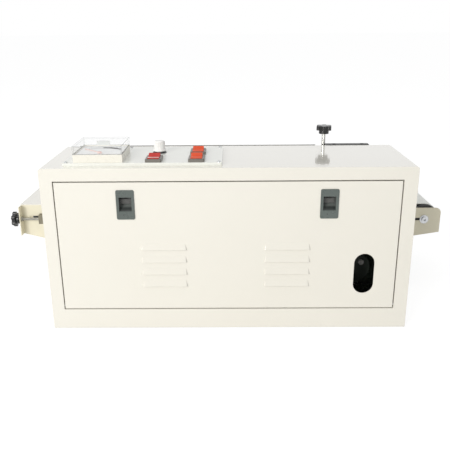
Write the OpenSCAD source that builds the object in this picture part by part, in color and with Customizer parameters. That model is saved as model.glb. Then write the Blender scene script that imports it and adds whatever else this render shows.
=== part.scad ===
// Benchtop conveyor reflow oven: a control cabinet stands in front of a belt conveyor that
// carries boards through a hinged preheat hood and under a height-adjustable reflow head.
// Machine axes: X along the belt, Y from the cabinet front to the back, Z up from the bench.

/* [Cabinet] */
// Width of the cabinet
cab_w = 700; // [680:5:780]
// Depth of the cabinet
cab_d = 205; // [195:5:260]
// Height of the cabinet above its feet
cab_h = 326.5; // [320:0.5:380]
// Thickness of the cabinet sheet
sheet = 1.5; // [1:0.1:2]
// Outer radius of the folded edges
bend_r = 5; // [3:0.5:7]
// Height of the rubber feet
foot_h = 2.5; // [2:0.5:6]
// Radius of a rubber foot
foot_r = 11; // [8:0.5:14]
// Distance of the feet from the cabinet sides
foot_inset = 26; // [18:1:40]

/* [Door] */
// Frame width left of the door opening
frame_left = 24; // [20:1:32]
// Frame width right of the door opening
frame_right = 26; // [20:1:32]
// Frame width above the door opening
frame_top = 24.5; // [20:0.5:32]
// Frame width below the door opening
frame_bottom = 41; // [34:1:50]
// Gap between the door and its frame
door_gap = 2.2; // [2:0.1:3]
// Depth of the folded edge round the door opening
lip_d = 12; // [9:0.5:13]
// Depth of the folded edge of the door
door_d = 14; // [12:0.5:18]
// Radius of the door pivot pins
pin_r = 2; // [1.5:0.1:2.1]
// Distance of the pivot pins behind the door face
pivot_back = 4.5; // [4.5:0.1:5]
// Distance of the pivot pins above the door's lower edge
pivot_up = 5; // [4.5:0.1:5.2]

/* [Louvres and window] */
// Louvres in each of the two groups
louvre_count = 4; // [2:1:5]
// Straight length of a louvre
louvre_len = 82; // [50:1:90]
// Distance between the louvres
louvre_pitch = 25.2; // [20:0.2:28]
// Height of a louvre
louvre_h = 13; // [9:0.5:16]
// How far a louvre stands out of the door
louvre_out = 3.2; // [3:0.1:5]
// Distance of the left louvres' middle from the left side of the cabinet
louvre_left = 226; // [205:1:240]
// Distance of the right louvres' middle from the right side of the cabinet
louvre_right = 238; // [215:1:245]
// Height of the lowest louvre edge above the bench
louvre_low = 93; // [80:1:110]
// Width of the round-ended window
window_w = 39; // [30:1:44]
// Height of the round-ended window
window_h = 82; // [60:1:88]
// Distance of the window's middle from the right side of the cabinet
window_in = 89; // [80:0.5:100]
// Height of the window's middle above the bench
window_z = 118; // [105:1:125]

/* [Latches] */
// Width of a latch bezel
latch_w = 34; // [30:1:40]
// Height of a latch bezel
latch_h = 57; // [50:0.5:64]
// Distance of the left latch's middle from the left side of the cabinet
latch_left = 157.5; // [135:0.5:180]
// Distance of the right latch's middle from the right side of the cabinet
latch_right = 161.5; // [135:0.5:180]
// Distance of the latch bezel below the top edge of the door
latch_drop = 14.5; // [10:0.5:20]
// Depth of the latch cup behind the door face
latch_d = 14.5; // [13:0.5:20]
// Wall of the latch cup
latch_wall = 1.6; // [1.2:0.1:2]
// How far the bezel stands out of the door
latch_out = 1.4; // [1:0.1:2]
// Width of the finger pocket
pocket_w = 23.5; // [20:0.5:26]
// Height of the finger pocket
pocket_h = 28; // [24:0.5:32]
// Height of the solid panel above the finger pocket
pocket_drop = 14; // [12:0.5:16]
// Width of the sliding bolt
bolt_w = 14; // [10:0.5:16]
// Thickness of the sliding bolt
bolt_t = 2.5; // [2:0.1:3.5]
// Travel of the sliding bolt
bolt_travel = 6; // [4:0.5:7]

/* [Control plate] */
// Width of the control plate
plate_w = 298; // [290:1:320]
// Depth of the control plate
plate_d = 150; // [140:1:170]
// Distance of the control plate from the left side
plate_left = 41; // [30:1:50]
// Distance of the control plate from the cabinet front
plate_front = 17.5; // [12:0.5:24]
// Height of the control plate's folded edge
plate_h = 6; // [4:0.5:9]
// Distance of the plate's middle screw from its left edge
mid_screw = 108; // [100:1:200]
// Width of the panel instrument
meter_w = 92; // [80:1:96]
// Depth of the panel instrument
meter_d = 94; // [80:1:100]
// Height of the instrument's solid base
meter_base_h = 15; // [12:0.5:18]
// Height of the instrument with its clear cover
meter_h = 31; // [26:0.5:36]
// Distance of the instrument from the plate's left edge
meter_left = 20; // [15:0.5:26]
// Distance of the devices from the plate's front edge
device_front = 4; // [3:0.5:8]
// Wall of the instrument's clear cover
cover_t = 2; // [1.5:0.1:3]
// Angle swept by the instrument's needle
needle_sweep = 90; // [60:5:100]
// Radius of the speed knob
knob_r = 12.5; // [9:0.5:14]
// Height of the speed knob
knob_h = 24; // [18:0.5:28]
// Distance of the speed knob from the plate's left edge
knob_left = 172; // [164:0.5:190]
// Width of a rocker switch bezel
rocker_w = 30.5; // [28:0.5:34]
// Depth of a rocker switch bezel
rocker_d = 40; // [36:0.5:41]
// Height of a rocker switch bezel
rocker_h = 6; // [5:0.5:8]
// Distance between the two rockers that stand in line
rocker_pitch = 64; // [42:0.5:68]
// Distance of the first rocker from the plate's left edge
rocker_left = 169; // [164:0.5:176]
// Distance of the rocker pair from the plate's right edge
rocker_right = 48.5; // [42:0.5:58]
// Angle of a rocker to each side
rocker_tilt = 8; // [5:0.5:9]

/* [Conveyor] */
// Gap between the cabinet and the near side plate
conveyor_gap = 12; // [11:0.5:20]
// Thickness of the conveyor side plates
side_t = 2; // [1.5:0.1:3]
// Clear width between the side plates
conveyor_w = 170; // [160:1:220]
// Clear width beside the belt, for its drive
drive_room = 21; // [20:0.5:40]
// Thickness of the belt
belt_t = 1.2; // [0.8:0.1:2]
// Distance from the near side plate to the belt
belt_margin = 7; // [6:0.5:12]
// Height of the roller axles above the bench
axle_z = 157; // [153:0.5:162]
// Height of the tail axle above the drive axle
tail_rise = 8; // [6:0.5:10]
// Radius of the drive roller
drive_r = 32.5; // [30:0.5:34]
// Radius of the tail roller
tail_r = 23; // [18:0.5:24]
// Radius of the roller axles
axle_r = 4; // [3.5:0.5:5]
// How far the conveyor reaches past the cabinet on the left
reach_left = 118; // [112:0.5:160]
// How far the conveyor reaches past the cabinet on the right
reach_right = 126; // [118:0.5:170]
// Height of the side plates' upper edge above the drive axle
side_up = 26.5; // [24.5:0.5:28]
// Depth of the side plates below the drive axle at that end
side_down = 30.5; // [28:0.5:40]
// Depth of the side plates below the drive axle behind the cabinet
side_deep = 50.5; // [46:0.5:52]
// How far the side plates stand up at the tail end, to carry the infeed table
tail_up = 11; // [9.5:0.5:14]
// Depth of the side plates below the tail axle at that end
tail_down = 37; // [30:0.5:40]
// Length of the sloping lower edge at the tail end
tail_slope = 84; // [60:1:100]
// Radius of the side plates' upper corner at the drive end
corner_r = 12; // [6:0.5:16]
// Width of the folded lip at the tail end
lip_w = 18; // [18:0.5:26]
// Distance of the drive axle from the right end
drive_in = 36.5; // [35:0.5:46]
// Distance of the tail axle from the left end
tail_in = 49; // [42:0.5:52]
// Travel of the belt take-up
takeup_travel = 12; // [6:1:16]
// Radius of the take-up screws
takeup_r = 3; // [2.5:0.5:4]
// Radius of a star knob over its lobes
star_r = 17.3; // [14:0.1:20]
// Height of the star knobs on the take-up screws
star_h = 15; // [12:0.5:20]
// Radius of the tie rods
tie_r = 5; // [4:0.5:6]

/* [Drive] */
// Distance of the motor shaft from the right side of the cabinet
motor_in = 92; // [85:1:110]
// Height of the motor shaft above the bench
motor_z = 92; // [88:1:94]
// Radius of the motor
motor_r = 34; // [28:1:38]
// Length of the motor
motor_len = 78; // [60:1:84]
// Length of the gearbox
gearbox_len = 42; // [35:1:50]
// Radius of the motor's cross shaft
shaft_r = 5; // [4:0.5:6]
// Belt radius of the pulley on the motor shaft
motor_pulley_r = 14; // [12:0.5:16]
// Belt radius of the pulley on the drive roller
roller_pulley_r = 21; // [18:0.5:24]
// Width of the drive belt
drive_belt_w = 8; // [6:0.5:9]
// Thickness of the drive belt
drive_belt_t = 2; // [1.5:0.1:3]

/* [Tunnel] */
// Left end of the preheat hood, from the left side of the cabinet
hood_x = 30; // [20:1:60]
// Gap between the preheat hood and the head's heater ends
hood_gap = 7; // [4:0.5:40]
// Height of the preheat hood
hood_h = 108; // [90:1:112]
// Sheet thickness of the hood and the head
hood_t = 1.2; // [1:0.1:2]
// Depth of the air gap under the hood's roof
liner_gap = 18; // [10:1:25]
// Height of the board passage above the belt
passage_h = 30; // [20:1:40]
// Length of the reflow head
head_len = 150; // [130:1:152]
// Height of the reflow head
head_h = 84; // [70:1:90]
// Lowest height of the reflow head above the belt
head_gap = 13.5; // [10:0.5:20]
// Travel of the reflow head
head_travel = 17; // [12:1:30]
// Height of the star knob on the lift spindle
lift_star_h = 17; // [15:0.5:26]
// Radius of the lift spindle
spindle_r = 4; // [3.5:0.5:5]
// Distance of the lift spindle from the right side of the cabinet
spindle_in = 145; // [140:1:150]
// Radius of the heater tubes
heater_r = 5; // [4:0.5:7]
// Depth of the lower heater tray
tray_h = 33; // [30:1:34]

/* [Rear legs] */
// Width of a rear leg
leg_w = 40; // [30:1:50]
// Thickness of a rear leg
leg_t = 3; // [2:0.5:4]
// Length of a leg's foot
leg_foot = 42; // [36:1:60]
// Distance of the left leg from the left side of the cabinet
leg_left = 80; // [60:1:140]
// Distance from the right leg to the motor shaft's axis
leg_clear = 13; // [12:0.5:60]
// Radius of the bench bolt holes
leg_hole_r = 3.3; // [2.5:0.1:4]
// Distance between the two holes of a leg
leg_hole_pitch = 22; // [18:1:30]

/* [Hidden] */
$fn = 48;
e = 0.5;             // how far a cut passes its surface
fit = 0.05;          // radial clearance of a running fit
gap = 0.5;           // clearance between bodies that move past each other
cab_top = foot_h + cab_h;
floor_top = foot_h + sheet;

// Door opening and door
open_x0 = frame_left;
open_x1 = cab_w - frame_right;
open_z0 = foot_h + frame_bottom;
open_z1 = cab_top - frame_top;
door_x0 = open_x0 + door_gap;
door_x1 = open_x1 - door_gap;
door_z0 = open_z0 + door_gap;
door_z1 = open_z1 - door_gap;
pivot_z = door_z0 + pivot_up;
pin_head_t = 1.5;
pin_head_r = pin_r + 0.9;
window_x = cab_w - window_in;

// Latches
latch_xs = [latch_left, cab_w - latch_right];
louvre_xs = [louvre_left, cab_w - louvre_right];
latch_z0 = door_z1 - latch_drop - latch_h;
latch_rim = 2.5;
pocket_z1 = latch_z0 + latch_h - pocket_drop;
pocket_z0 = pocket_z1 - pocket_h;
cup_back = latch_d - latch_wall;
tab_t = 3;
tab_h = 9;
tab_z0 = pocket_z1 - bolt_travel - tab_h;
neck_h = 5;
neck_w = 8;
bolt_y = latch_d + gap;
bolt_z1 = open_z1 - 1;
bolt_z0 = tab_z0 - 6;

// Control plate and its devices
plate_x0 = plate_left;
plate_x1 = plate_left + plate_w;
plate_y0 = plate_front;
plate_y1 = plate_front + plate_d;
panel = cab_top + plate_h;
screw_r = 1.5;
screw_head_r = 3;
screw_head_h = 1.8;
screw_inset = 6;
plate_rim = 11;
front_rim = 4.5;
meter_x0 = plate_x0 + meter_left;
meter_y0 = plate_y0 + device_front;
meter_can = 6;
meter_can_h = 58;
meter_wall = 2.5;
dial_z = panel + meter_base_h - 2.5;
dial_t = 1;
needle_x = meter_x0 + meter_w / 2;
needle_y = meter_y0 + 22;
needle_z = dial_z + dial_t;
needle_len = meter_d - 44;
needle_hub_r = 4;
knob_x = plate_x0 + knob_left;
knob_y = plate_y0 + 94;
knob_shaft_r = 3;
bushing_r = 4.5;
nut_h = 2.5;
knob_gap = 1.5;
rocker_x1 = plate_x0 + rocker_left;
rocker_x2 = plate_x1 - rocker_right;
rocker_y1 = plate_y0 + device_front + rocker_d / 2;
rocker_y2 = rocker_y1 + rocker_pitch;
well_w = rocker_w - 8;
well_d = rocker_d - 8;
well_deep = 4;
rocker_pivot = panel + rocker_h - 2.5;
rocker_pin_r = 1.5;
switch_deep = 26;

// Conveyor
near_y0 = cab_d + conveyor_gap;
near_y1 = near_y0 + side_t;
far_y0 = near_y1 + conveyor_w;
far_y1 = far_y0 + side_t;
conveyor_mid = (near_y0 + far_y1) / 2;
conv_x0 = -reach_left;
conv_x1 = cab_w + reach_right;
side_top = axle_z + side_up;
side_mid_z = axle_z - side_deep;
tail_z = axle_z + tail_rise;
tail_top = side_top + tail_up;
belt_y0 = near_y1 + belt_margin;
belt_w = conveyor_w - belt_margin - drive_room;
belt_y1 = belt_y0 + belt_w;
belt_slack = 0.35;
belt_steps = 32;
belt_top = axle_z + drive_r + belt_slack + belt_t;
drive_x = conv_x1 - drive_in;
tail_x = conv_x0 + tail_in;
slot_r = axle_r + 0.4;
end_screw_r = 3;
bed_t = 1.5;
bed_top = axle_z + drive_r + belt_slack;
bed_x0 = tail_x + 46;
bed_x1 = drive_x - drive_r - 8;
nose_r = 5;
shoe_len = 36;
drive_circle = [drive_x, axle_z, drive_r + belt_slack];
tail_circle = [tail_x, tail_z, tail_r + belt_slack];
nose_circle = [bed_x0 + nose_r, bed_top - nose_r, nose_r];
roller_wall = 4;
roller_y0 = near_y1 + 2.5;

// Take-up at the tail end
block_w = 14;
block_h = 20;
block_d = 15;
block_y1 = near_y0 - gap;
block_y0 = block_y1 - block_d;
takeup_y = near_y0 - lip_w / 2;
takeup_tip = tail_x + block_w / 2 + takeup_travel + 4;
star_lobe_r = 4.6;
star_hub_r = 10.5;
star_x0 = conv_x0 - 1.5 - star_h;

// Tie rods and heater tray
table_x1 = -8;
tie_z = axle_z - 9;
tie_left = 20;
tie_off = 60;
tie_right = 140;
tie_xs = [tie_left, cab_w / 2 - tie_off, cab_w - tie_right];
end_tie_x = drive_x - drive_r - tie_r - 22;
end_tie_z = bed_top - bed_t - tie_r - 11;
sleeve_r = tie_r + 3;
nut_r = tie_r + 3.5;
nut_t = 5;
tray_z0 = tie_z + tie_r;
tray_x0 = 50;
tray_x1 = cab_w - 50;
tray_y0 = belt_y0 + 5;
tray_y1 = belt_y1 - 5;
tray_t = 1.2;
heater_count = 4;
cap_r = heater_r + 2;
cap_len = 14;
rod_near = 8;
rod_far = 10;
rod_short = 6;
sleeve_t = 3;

// Drive
motor_x = cab_w - motor_in;
ear_w = 25;
ear_z = motor_z - 17;
rear_in = cab_d - sheet;
gearbox_y0 = rear_in - gearbox_len;
gearbox_half = 36;
motor_mid_z = motor_z + motor_r - gearbox_half + 6;
pulley_y0 = belt_y1 + 5;
pulley_rim = 1.2;
pulley_hub_r = 9;
motor_circle = [motor_x, motor_z, motor_pulley_r + belt_slack];
roller_circle = [drive_x, axle_z, roller_pulley_r + belt_slack];

// Hood and reflow head
head_in = 100;
head_mid = cab_w - head_in;
head_x0 = head_mid - head_len / 2;
head_x1 = head_mid + head_len / 2;
hood_z0 = side_top + gap;
hood_z1 = hood_z0 + hood_h;
hood_y0 = near_y0;
hood_y1 = far_y1;
hood_x1 = head_x0 - cap_len - hood_gap;
hinge_y = far_y1 + 5;
hinge_z = side_top - 4;
hinge_r = 2.5;
hinge_xs = [hood_x + 60, hood_x1 - 60];
knuckle_r = 5;
knuckle_len = 24;
pin_over = 5;
clip_t = 4;
handle_in = 120;
handle_r = 4;
handle_up = 18;
passage_z = belt_top + passage_h;
head_y0 = near_y1 + 3;
head_y1 = far_y0 - 3;
head_z0 = belt_top + 3;
head_z1 = belt_top + head_gap + head_h;
head_mouth = belt_top + head_gap;
spindle_x = cab_w - spindle_in;
spindle_y = cab_d + 9;
lift_x1 = cab_w - 48;
lift_x0 = spindle_x + spindle_r + 1;
lift_y0 = cab_d + 2;
lift_y1 = head_y0;
lift_up = 1;
star_clear = 6;
lift_z1 = cab_top + lift_up;
lift_star_z = lift_z1 + head_travel + star_clear;
lift_z0 = head_z1 - 24;
lug_x0 = spindle_x - 12;
lug_z1 = cab_top - 8;
guide_xs = [lift_x0 + 18, lift_x1 - 14];
guide_r = 4;
guide_top = cab_top - 3;
shelf_z1 = lift_z0 - 28;
shelf_t = 8;
collar_r = 8;
collar_t = 6;

// Cabinet contents
board_x0 = 70;
board_y0 = 60;
board_w = 130;
board_d = 90;
standoff_h = 8;
sink_x0 = 250;
sink_y0 = 70;
sink_w = 110;
sink_d = 90;
sink_h = 34;
relay_t = 24;
relay_w = 42;
relay_h = 58;
relay_pitch = 46;
strip_x0 = 250;
strip_y0 = 20;
strip_w = 150;
strip_d = 26;
strip_h = 24;
fan_x = 130;
fan_z = floor_top + 46;
fan_w = 80;
fan_d = 25;
fan_hub_r = 17;
inlet_x = 300;
inlet_z = floor_top + 40;
inlet_w = 48;
inlet_h = 28;

// Box of the whole machine, used to put the origin under its middle
x_min = star_x0;
x_max = conv_x1;
y_min = -max(louvre_out, latch_out);
y_max = far_y1 + max(leg_foot, lip_w);
mid_x = (x_min + x_max) / 2;
mid_y = (y_min + y_max) / 2;

CREAM = [0.93, 0.91, 0.84];
STEEL = [0.72, 0.73, 0.75];
ZINC = [0.62, 0.63, 0.64];
BLACK = [0.06, 0.06, 0.065];
GREY = [0.3, 0.33, 0.33];
RED = [0.75, 0.05, 0.03];
WHITE = [0.95, 0.95, 0.93];
GREEN = [0.08, 0.32, 0.18];

// ---------- helpers ----------

module place() translate([-mid_x, -mid_y, 0]) children();

// Extrusions of a flat outline along Y, X and Z
module xz(y, t) translate([0, y + t, 0]) rotate([90, 0, 0]) linear_extrude(t) children();
module yz(x, t) translate([x, 0, 0]) rotate([90, 0, 90]) linear_extrude(t) children();
module xy(z, t) translate([0, 0, z]) linear_extrude(t) children();

module box(lo, hi) translate(lo) cube(hi - lo);
module rect(lo, hi) translate(lo) square(hi - lo);
module rod_x(p, r, l) translate(p) rotate([0, 90, 0]) cylinder(r = r, h = l);
module rod_y(p, r, l) translate(p) rotate([-90, 0, 0]) cylinder(r = r, h = l);
module rod_z(p, r, l) translate(p) cylinder(r = r, h = l);

module round_rect(lo, hi, r) {
    rect([lo[0] + r, lo[1]], [hi[0] - r, hi[1]]);
    rect([lo[0], lo[1] + r], [hi[0], hi[1] - r]);
    for (x = [lo[0] + r, hi[0] - r], y = [lo[1] + r, hi[1] - r])
        translate([x, y]) circle(r);
}

module mirror_y(at) translate([0, 2 * at, 0]) mirror([0, 1, 0]) children();

// Outline of the folded cover, seen from the front, drawn in by an inset and down to a height
module arch(inset, bottom) {
    r = bend_r - inset;
    top = cab_top - inset;
    rect([inset, bottom], [cab_w - inset, top - max(r, 0)]);
    if (r > 0) round_rect([inset, top - 4 * r], [cab_w - inset, top], r);
    else rect([inset, bottom], [cab_w - inset, top]);
}

module open_outline(grow) {
    rect([open_x0 - grow, open_z0 - grow], [open_x1 + grow, open_z1 + grow]);
}

module door_outline(inset) {
    rect([door_x0 + inset, door_z0 + inset], [door_x1 - inset, door_z1 - inset]);
}

// Pan-head screw with its head upwards
module screw(length) {
    translate([0, 0, -length]) cylinder(r = screw_r, h = length);
    difference() {
        cylinder(r = screw_head_r, h = screw_head_h);
        for (a = [0, 90]) rotate([0, 0, a])
            translate([0, 0, screw_head_h]) cube([0.7, 3.4, 1.4], center = true);
    }
}

// Direction from a's centre to its tangent point on the belt line from circle a to circle b
function tangent(a, b) =
    let (d = [b[0] - a[0], b[1] - a[1]], l = norm(d), u = d / l, s = (a[2] - b[2]) / l)
    u * s + [u[1], -u[0]] * sqrt(1 - s * s);

// Points round circles [x, z, r] listed counter-clockwise, as a tight belt would run
function belt_points(circles, grow) =
    let (n = len(circles), big = [for (c = circles) [c[0], c[1], c[2] + grow]])
    [for (i = [0 : n - 1])
        let (c = big[i], next = tangent(c, big[(i + 1) % n]), last = tangent(big[(i + n - 1) % n], c),
             start = atan2(last[1], last[0]), turn = (atan2(next[1], next[0]) - start + 720) % 360)
        for (k = [0 : belt_steps]) let (a = start + turn * k / belt_steps)
            [c[0] + c[2] * cos(a), c[1] + c[2] * sin(a)]];

module belt_loop(circles, y, w, t) xz(y, w) difference() {
    polygon(belt_points(circles, t));
    polygon(belt_points(circles, 0));
}

// Hub below and lobes above, with two small steps for the rounded edge
module star_knob(h) {
    lobe_h = h * 0.55;
    cylinder(r = star_hub_r, h = h - 1.5);
    translate([0, 0, h - lobe_h]) {
        linear_extrude(lobe_h - 1.5) star_outline(star_r);
        translate([0, 0, lobe_h - 1.5]) linear_extrude(0.8) star_outline(star_r - 0.6);
        translate([0, 0, lobe_h - 0.7]) linear_extrude(0.7) star_outline(star_r - 1.6);
    }
}

module star_outline(reach) {
    circle(reach - star_lobe_r + 0.8);
    for (a = [0 : 60 : 300]) rotate(a) translate([reach - star_lobe_r, 0]) circle(star_lobe_r);
}

// ---------- cabinet ----------

module cabinet_shell() place() color(CREAM) difference() {
    union() {
        xz(0, cab_d) difference() {
            arch(0, foot_h);
            arch(sheet, foot_h - e);
        }
        xz(0, sheet) difference() {
            arch(0, foot_h);
            open_outline(0);
        }
        xz(0, lip_d) difference() {
            open_outline(sheet);
            open_outline(0);
        }
        xz(rear_in - sheet, sheet) difference() {
            arch(sheet / 2, floor_top);
            arch(lip_d, floor_top - e);
        }
    }
    box([plate_x0 + plate_rim, plate_y0 + front_rim, cab_top - sheet - e],
        [plate_x1 - plate_rim, plate_y1 - plate_rim, cab_top + e]);
    for (p = plate_screws) rod_z([p[0], p[1], cab_top - sheet - e], screw_r, sheet + 2 * e);
    for (p = rear_screws) rod_y([p[0], rear_in - sheet - e, p[1]], screw_r, sheet + 2 * e);
    for (x = [open_x0 - sheet - e, open_x1 - e])
        rod_x([x, pivot_back, pivot_z], pin_r, sheet + 2 * e);
}

plate_screws = [
    for (x = [plate_x0 + screw_inset, plate_x1 - screw_inset],
         y = [plate_y0 + screw_inset, plate_y1 - screw_inset]) [x, y],
    [plate_x0 + mid_screw, plate_y1 - screw_inset]
];
rear_screws = [
    for (x = [lip_d / 2 + 1, cab_w / 2, cab_w - lip_d / 2 - 1]) [x, cab_top - lip_d / 2 - 1],
    for (x = [lip_d / 2 + 1, cab_w - lip_d / 2 - 1]) [x, foot_h + 60]
];

module base_plate() place() color(ZINC) difference() {
    union() {
        box([sheet, sheet, foot_h], [cab_w - sheet, rear_in, floor_top]);
        for (x = [sheet, cab_w - 2 * sheet])
            box([x, 2 * sheet, floor_top], [x + sheet, rear_in - sheet, floor_top + 15]);
        box([sheet, sheet, floor_top], [cab_w - sheet, 2 * sheet, floor_top + 15]);
    }
    for (p = feet) rod_z([p[0], p[1], foot_h - e], foot_r / 3, sheet + 2 * e);
    for (x = [sink_x0 - 60 : 18 : sink_x0 - 6], y = [sink_y0, sink_y0 + 40])
        xy(foot_h - e, sheet + 2 * e) round_rect([x - 3, y], [x + 3, y + 30], 2.9);
}

feet = [for (x = [foot_inset, cab_w - foot_inset], y = [foot_inset, cab_d - foot_inset]) [x, y]];

module rear_panel() place() color(CREAM) difference() {
    xz(rear_in, sheet) arch(sheet, foot_h);
    for (p = rear_screws) rod_y([p[0], rear_in - e, p[1]], screw_r, sheet + 2 * e);
    for (x = tie_xs) rod_y([x, rear_in - e, tie_z], tie_r, sheet + 2 * e);
    rod_y([motor_x, rear_in - e, motor_z], shaft_r + 2, sheet + 2 * e);
    xz(rear_in - e, sheet + 2 * e) rect([inlet_x, inlet_z], [inlet_x + inlet_w, inlet_z + inlet_h]);
    for (r = [10 : 8 : 34]) fan_slots(r);
    for (x = [cab_w / 2 + 30 : 12 : cab_w / 2 + 90])
        xz(rear_in - e, sheet + 2 * e) round_rect([x, floor_top + 20], [x + 5, floor_top + 70], 2.4);
}

// One ring of curved slots in front of the fan
module fan_slots(r) {
    xz(rear_in - e, sheet + 2 * e) translate([fan_x, fan_z]) difference() {
        circle(r + 2);
        circle(r - 2);
        for (a = [45, 135]) rotate(a) square([2 * fan_w, 6], center = true);
    }
}

module rubber_feet() place() color(BLACK) for (p = feet) {
    rod_z([p[0], p[1], 0], foot_r, foot_h);
    rod_z([p[0], p[1], 0], foot_r / 3, floor_top);
    rod_z([p[0], p[1], floor_top], foot_r / 3 + 1.2, 2);
}

module panel_screws() place() color(STEEL) {
    for (p = plate_screws) translate([p[0], p[1], panel]) screw(plate_h + sheet + 3);
    for (p = rear_screws) translate([p[0], cab_d, p[1]]) rotate([-90, 0, 0]) screw(2 * sheet + 3);
}

module door_pivot_pins() place() color(STEEL) {
    pivot_pin(open_x0 - sheet, 1);
    pivot_pin(open_x1 + sheet, -1);
}

// Headed pin that stands in the folded edge of the opening and points into the door
module pivot_pin(x, way) translate([x, pivot_back, pivot_z]) rotate([0, 90 * way, 0]) {
    cylinder(r = pin_r, h = 2 * sheet + door_gap + 1.5);
    translate([0, 0, -pin_head_t]) cylinder(r = pin_head_r, h = pin_head_t);
}

// ---------- door and latches ----------

module front_door() place() color(CREAM) difference() {
    union() {
        xz(0, sheet) door_outline(0);
        xz(0, door_d) difference() {
            door_outline(0);
            door_outline(sheet);
        }
        louvres() louvre(0);
    }
    louvres() {
        louvre(sheet);
        louvre_slot();
    }
    xz(-e, sheet + 2 * e) window_outline();
    for (x = latch_xs)
        box([x - latch_w / 2 + latch_rim, -e, latch_z0 + latch_rim],
            [x + latch_w / 2 - latch_rim, sheet + e, latch_z0 + latch_h - latch_rim]);
    for (x = [door_x0 - e, door_x1 - sheet - e])
        rod_x([x, pivot_back, pivot_z], pin_r + fit, sheet + 2 * e);
}

module window_outline() {
    straight = (window_h - window_w) / 2;
    rect([window_x - window_w / 2, window_z - straight],
         [window_x + window_w / 2, window_z + straight]);
    for (z = [window_z - straight, window_z + straight])
        translate([window_x, z]) circle(window_w / 2);
}

module louvres() for (x = louvre_xs, i = [0 : louvre_count - 1])
    translate([x, 0, louvre_low + i * louvre_pitch]) children();

// Pressed louvre: a sloping blade with cone-shaped ends, drawn in by the sheet for its hollow
module louvre(inset) {
    out = louvre_out - inset;
    h = louvre_h - inset * louvre_h / louvre_out;
    drop = inset > 0 ? -e : 0;
    yz(-louvre_len / 2, louvre_len) polygon([[0, h], [-out, 0], [-out, drop], [0, drop]]);
    for (x = [-louvre_len / 2, louvre_len / 2]) intersection() {
        translate([x, 0, 0]) union() {
            cylinder(r1 = out, r2 = 0.01, h = h);
            if (drop < 0) translate([0, 0, drop]) cylinder(r = out, h = -drop);
        }
        box([x - out, -out - e, drop], [x + out, 0, h]);
    }
}

module louvre_slot() {
    h = louvre_h - sheet * louvre_h / louvre_out;
    box([-louvre_len / 2, -0.01, 0], [louvre_len / 2, sheet + e, h * 0.8]);
}

module latch_bezels() place() color(GREY) for (x = latch_xs) translate([x, 0, 0]) latch_bezel();

module latch_bezel() {
    half = latch_w / 2;
    cup = half - latch_rim;
    pocket = pocket_w / 2;
    z1 = latch_z0 + latch_h;
    difference() {
        union() {
            xz(-latch_out, latch_out) round_rect([-half, latch_z0], [half, z1], 3);
            box([-cup, 0, latch_z0 + latch_rim], [cup, latch_d, z1 - latch_rim]);
        }
        box([-pocket, -latch_out - e, pocket_z0], [pocket, cup_back, pocket_z1]);
        box([-pocket, latch_wall, pocket_z0], [pocket, cup_back, pocket_z1 + 6]);
        box([-neck_w / 2 - gap, cup_back - e, tab_z0 - gap],
            [neck_w / 2 + gap, latch_d + e, tab_z0 + neck_h + bolt_travel + gap]);
    }
    // Sloping floor of the finger pocket
    yz(-pocket, pocket_w) polygon([
        [-latch_out / 2, pocket_z0], [cup_back, pocket_z0], [cup_back, tab_z0 - 2 * gap]
    ]);
    // Keeper that guides the bolt behind the cup
    for (z = [latch_z0 + latch_h - 8]) difference() {
        box([-bolt_w / 2 - 3, latch_d, z - 3], [bolt_w / 2 + 3, bolt_y + bolt_t + 2, z + 3]);
        box([-bolt_w / 2 - gap, latch_d - e, z - 3 - e],
            [bolt_w / 2 + gap, bolt_y + bolt_t + gap, z + 3 + e]);
    }
}

module latch_bolt(x) place() color(BLACK) translate([x, 0, 0]) {
    half = pocket_w / 2 - 1;
    y = cup_back - gap;
    box([-half, y - tab_t, tab_z0], [half, y, tab_z0 + tab_h]);
    for (z = [tab_z0 + 1 : 2 : tab_z0 + tab_h - 1])
        box([-half + 1, y - tab_t - 0.6, z], [half - 1, y - tab_t, z + 1]);
    box([-neck_w / 2, y, tab_z0], [neck_w / 2, bolt_y, tab_z0 + neck_h]);
    box([-bolt_w / 2, bolt_y, bolt_z0], [bolt_w / 2, bolt_y + bolt_t, bolt_z1]);
}

module left_latch_bolt() latch_bolt(latch_xs[0]);
module right_latch_bolt() latch_bolt(latch_xs[1]);

// ---------- control plate and its devices ----------

module control_plate() place() color(CREAM) difference() {
    xy(cab_top, plate_h) round_rect([plate_x0, plate_y0], [plate_x1, plate_y1], 2.5);
    box([plate_x0 + sheet, plate_y0 + sheet, cab_top - e],
        [plate_x1 - sheet, plate_y1 - sheet, panel - sheet]);
    for (p = plate_screws) rod_z([p[0], p[1], panel - sheet - e], screw_r, sheet + 2 * e);
    box([meter_x0 + meter_can, meter_y0 + meter_can, panel - sheet - e],
        [meter_x0 + meter_w - meter_can, meter_y0 + meter_d - meter_can, panel + e]);
    rod_z([knob_x, knob_y, panel - sheet - e], bushing_r, sheet + 2 * e);
    for (p = rockers) box([p[0] - well_w / 2 - 2, p[1] - well_d / 2 - 2, panel - sheet - e],
                          [p[0] + well_w / 2 + 2, p[1] + well_d / 2 + 2, panel + e]);
}

rockers = [[rocker_x1, rocker_y1], [rocker_x2, rocker_y1], [rocker_x2, rocker_y2]];

module instrument_case() place() color(CREAM) difference() {
    union() {
        box([meter_x0, meter_y0, panel], [meter_x0 + meter_w, meter_y0 + meter_d, panel + meter_base_h]);
        box([meter_x0 + meter_can, meter_y0 + meter_can, panel - meter_can_h],
            [meter_x0 + meter_w - meter_can, meter_y0 + meter_d - meter_can, panel]);
    }
    box([meter_x0 + meter_wall, meter_y0 + meter_wall, dial_z],
        [meter_x0 + meter_w - meter_wall, meter_y0 + meter_d - meter_wall, panel + meter_base_h + e]);
    rod_z([needle_x, needle_y, dial_z - 6], 1.2 + fit, 6 + e);
}

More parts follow.
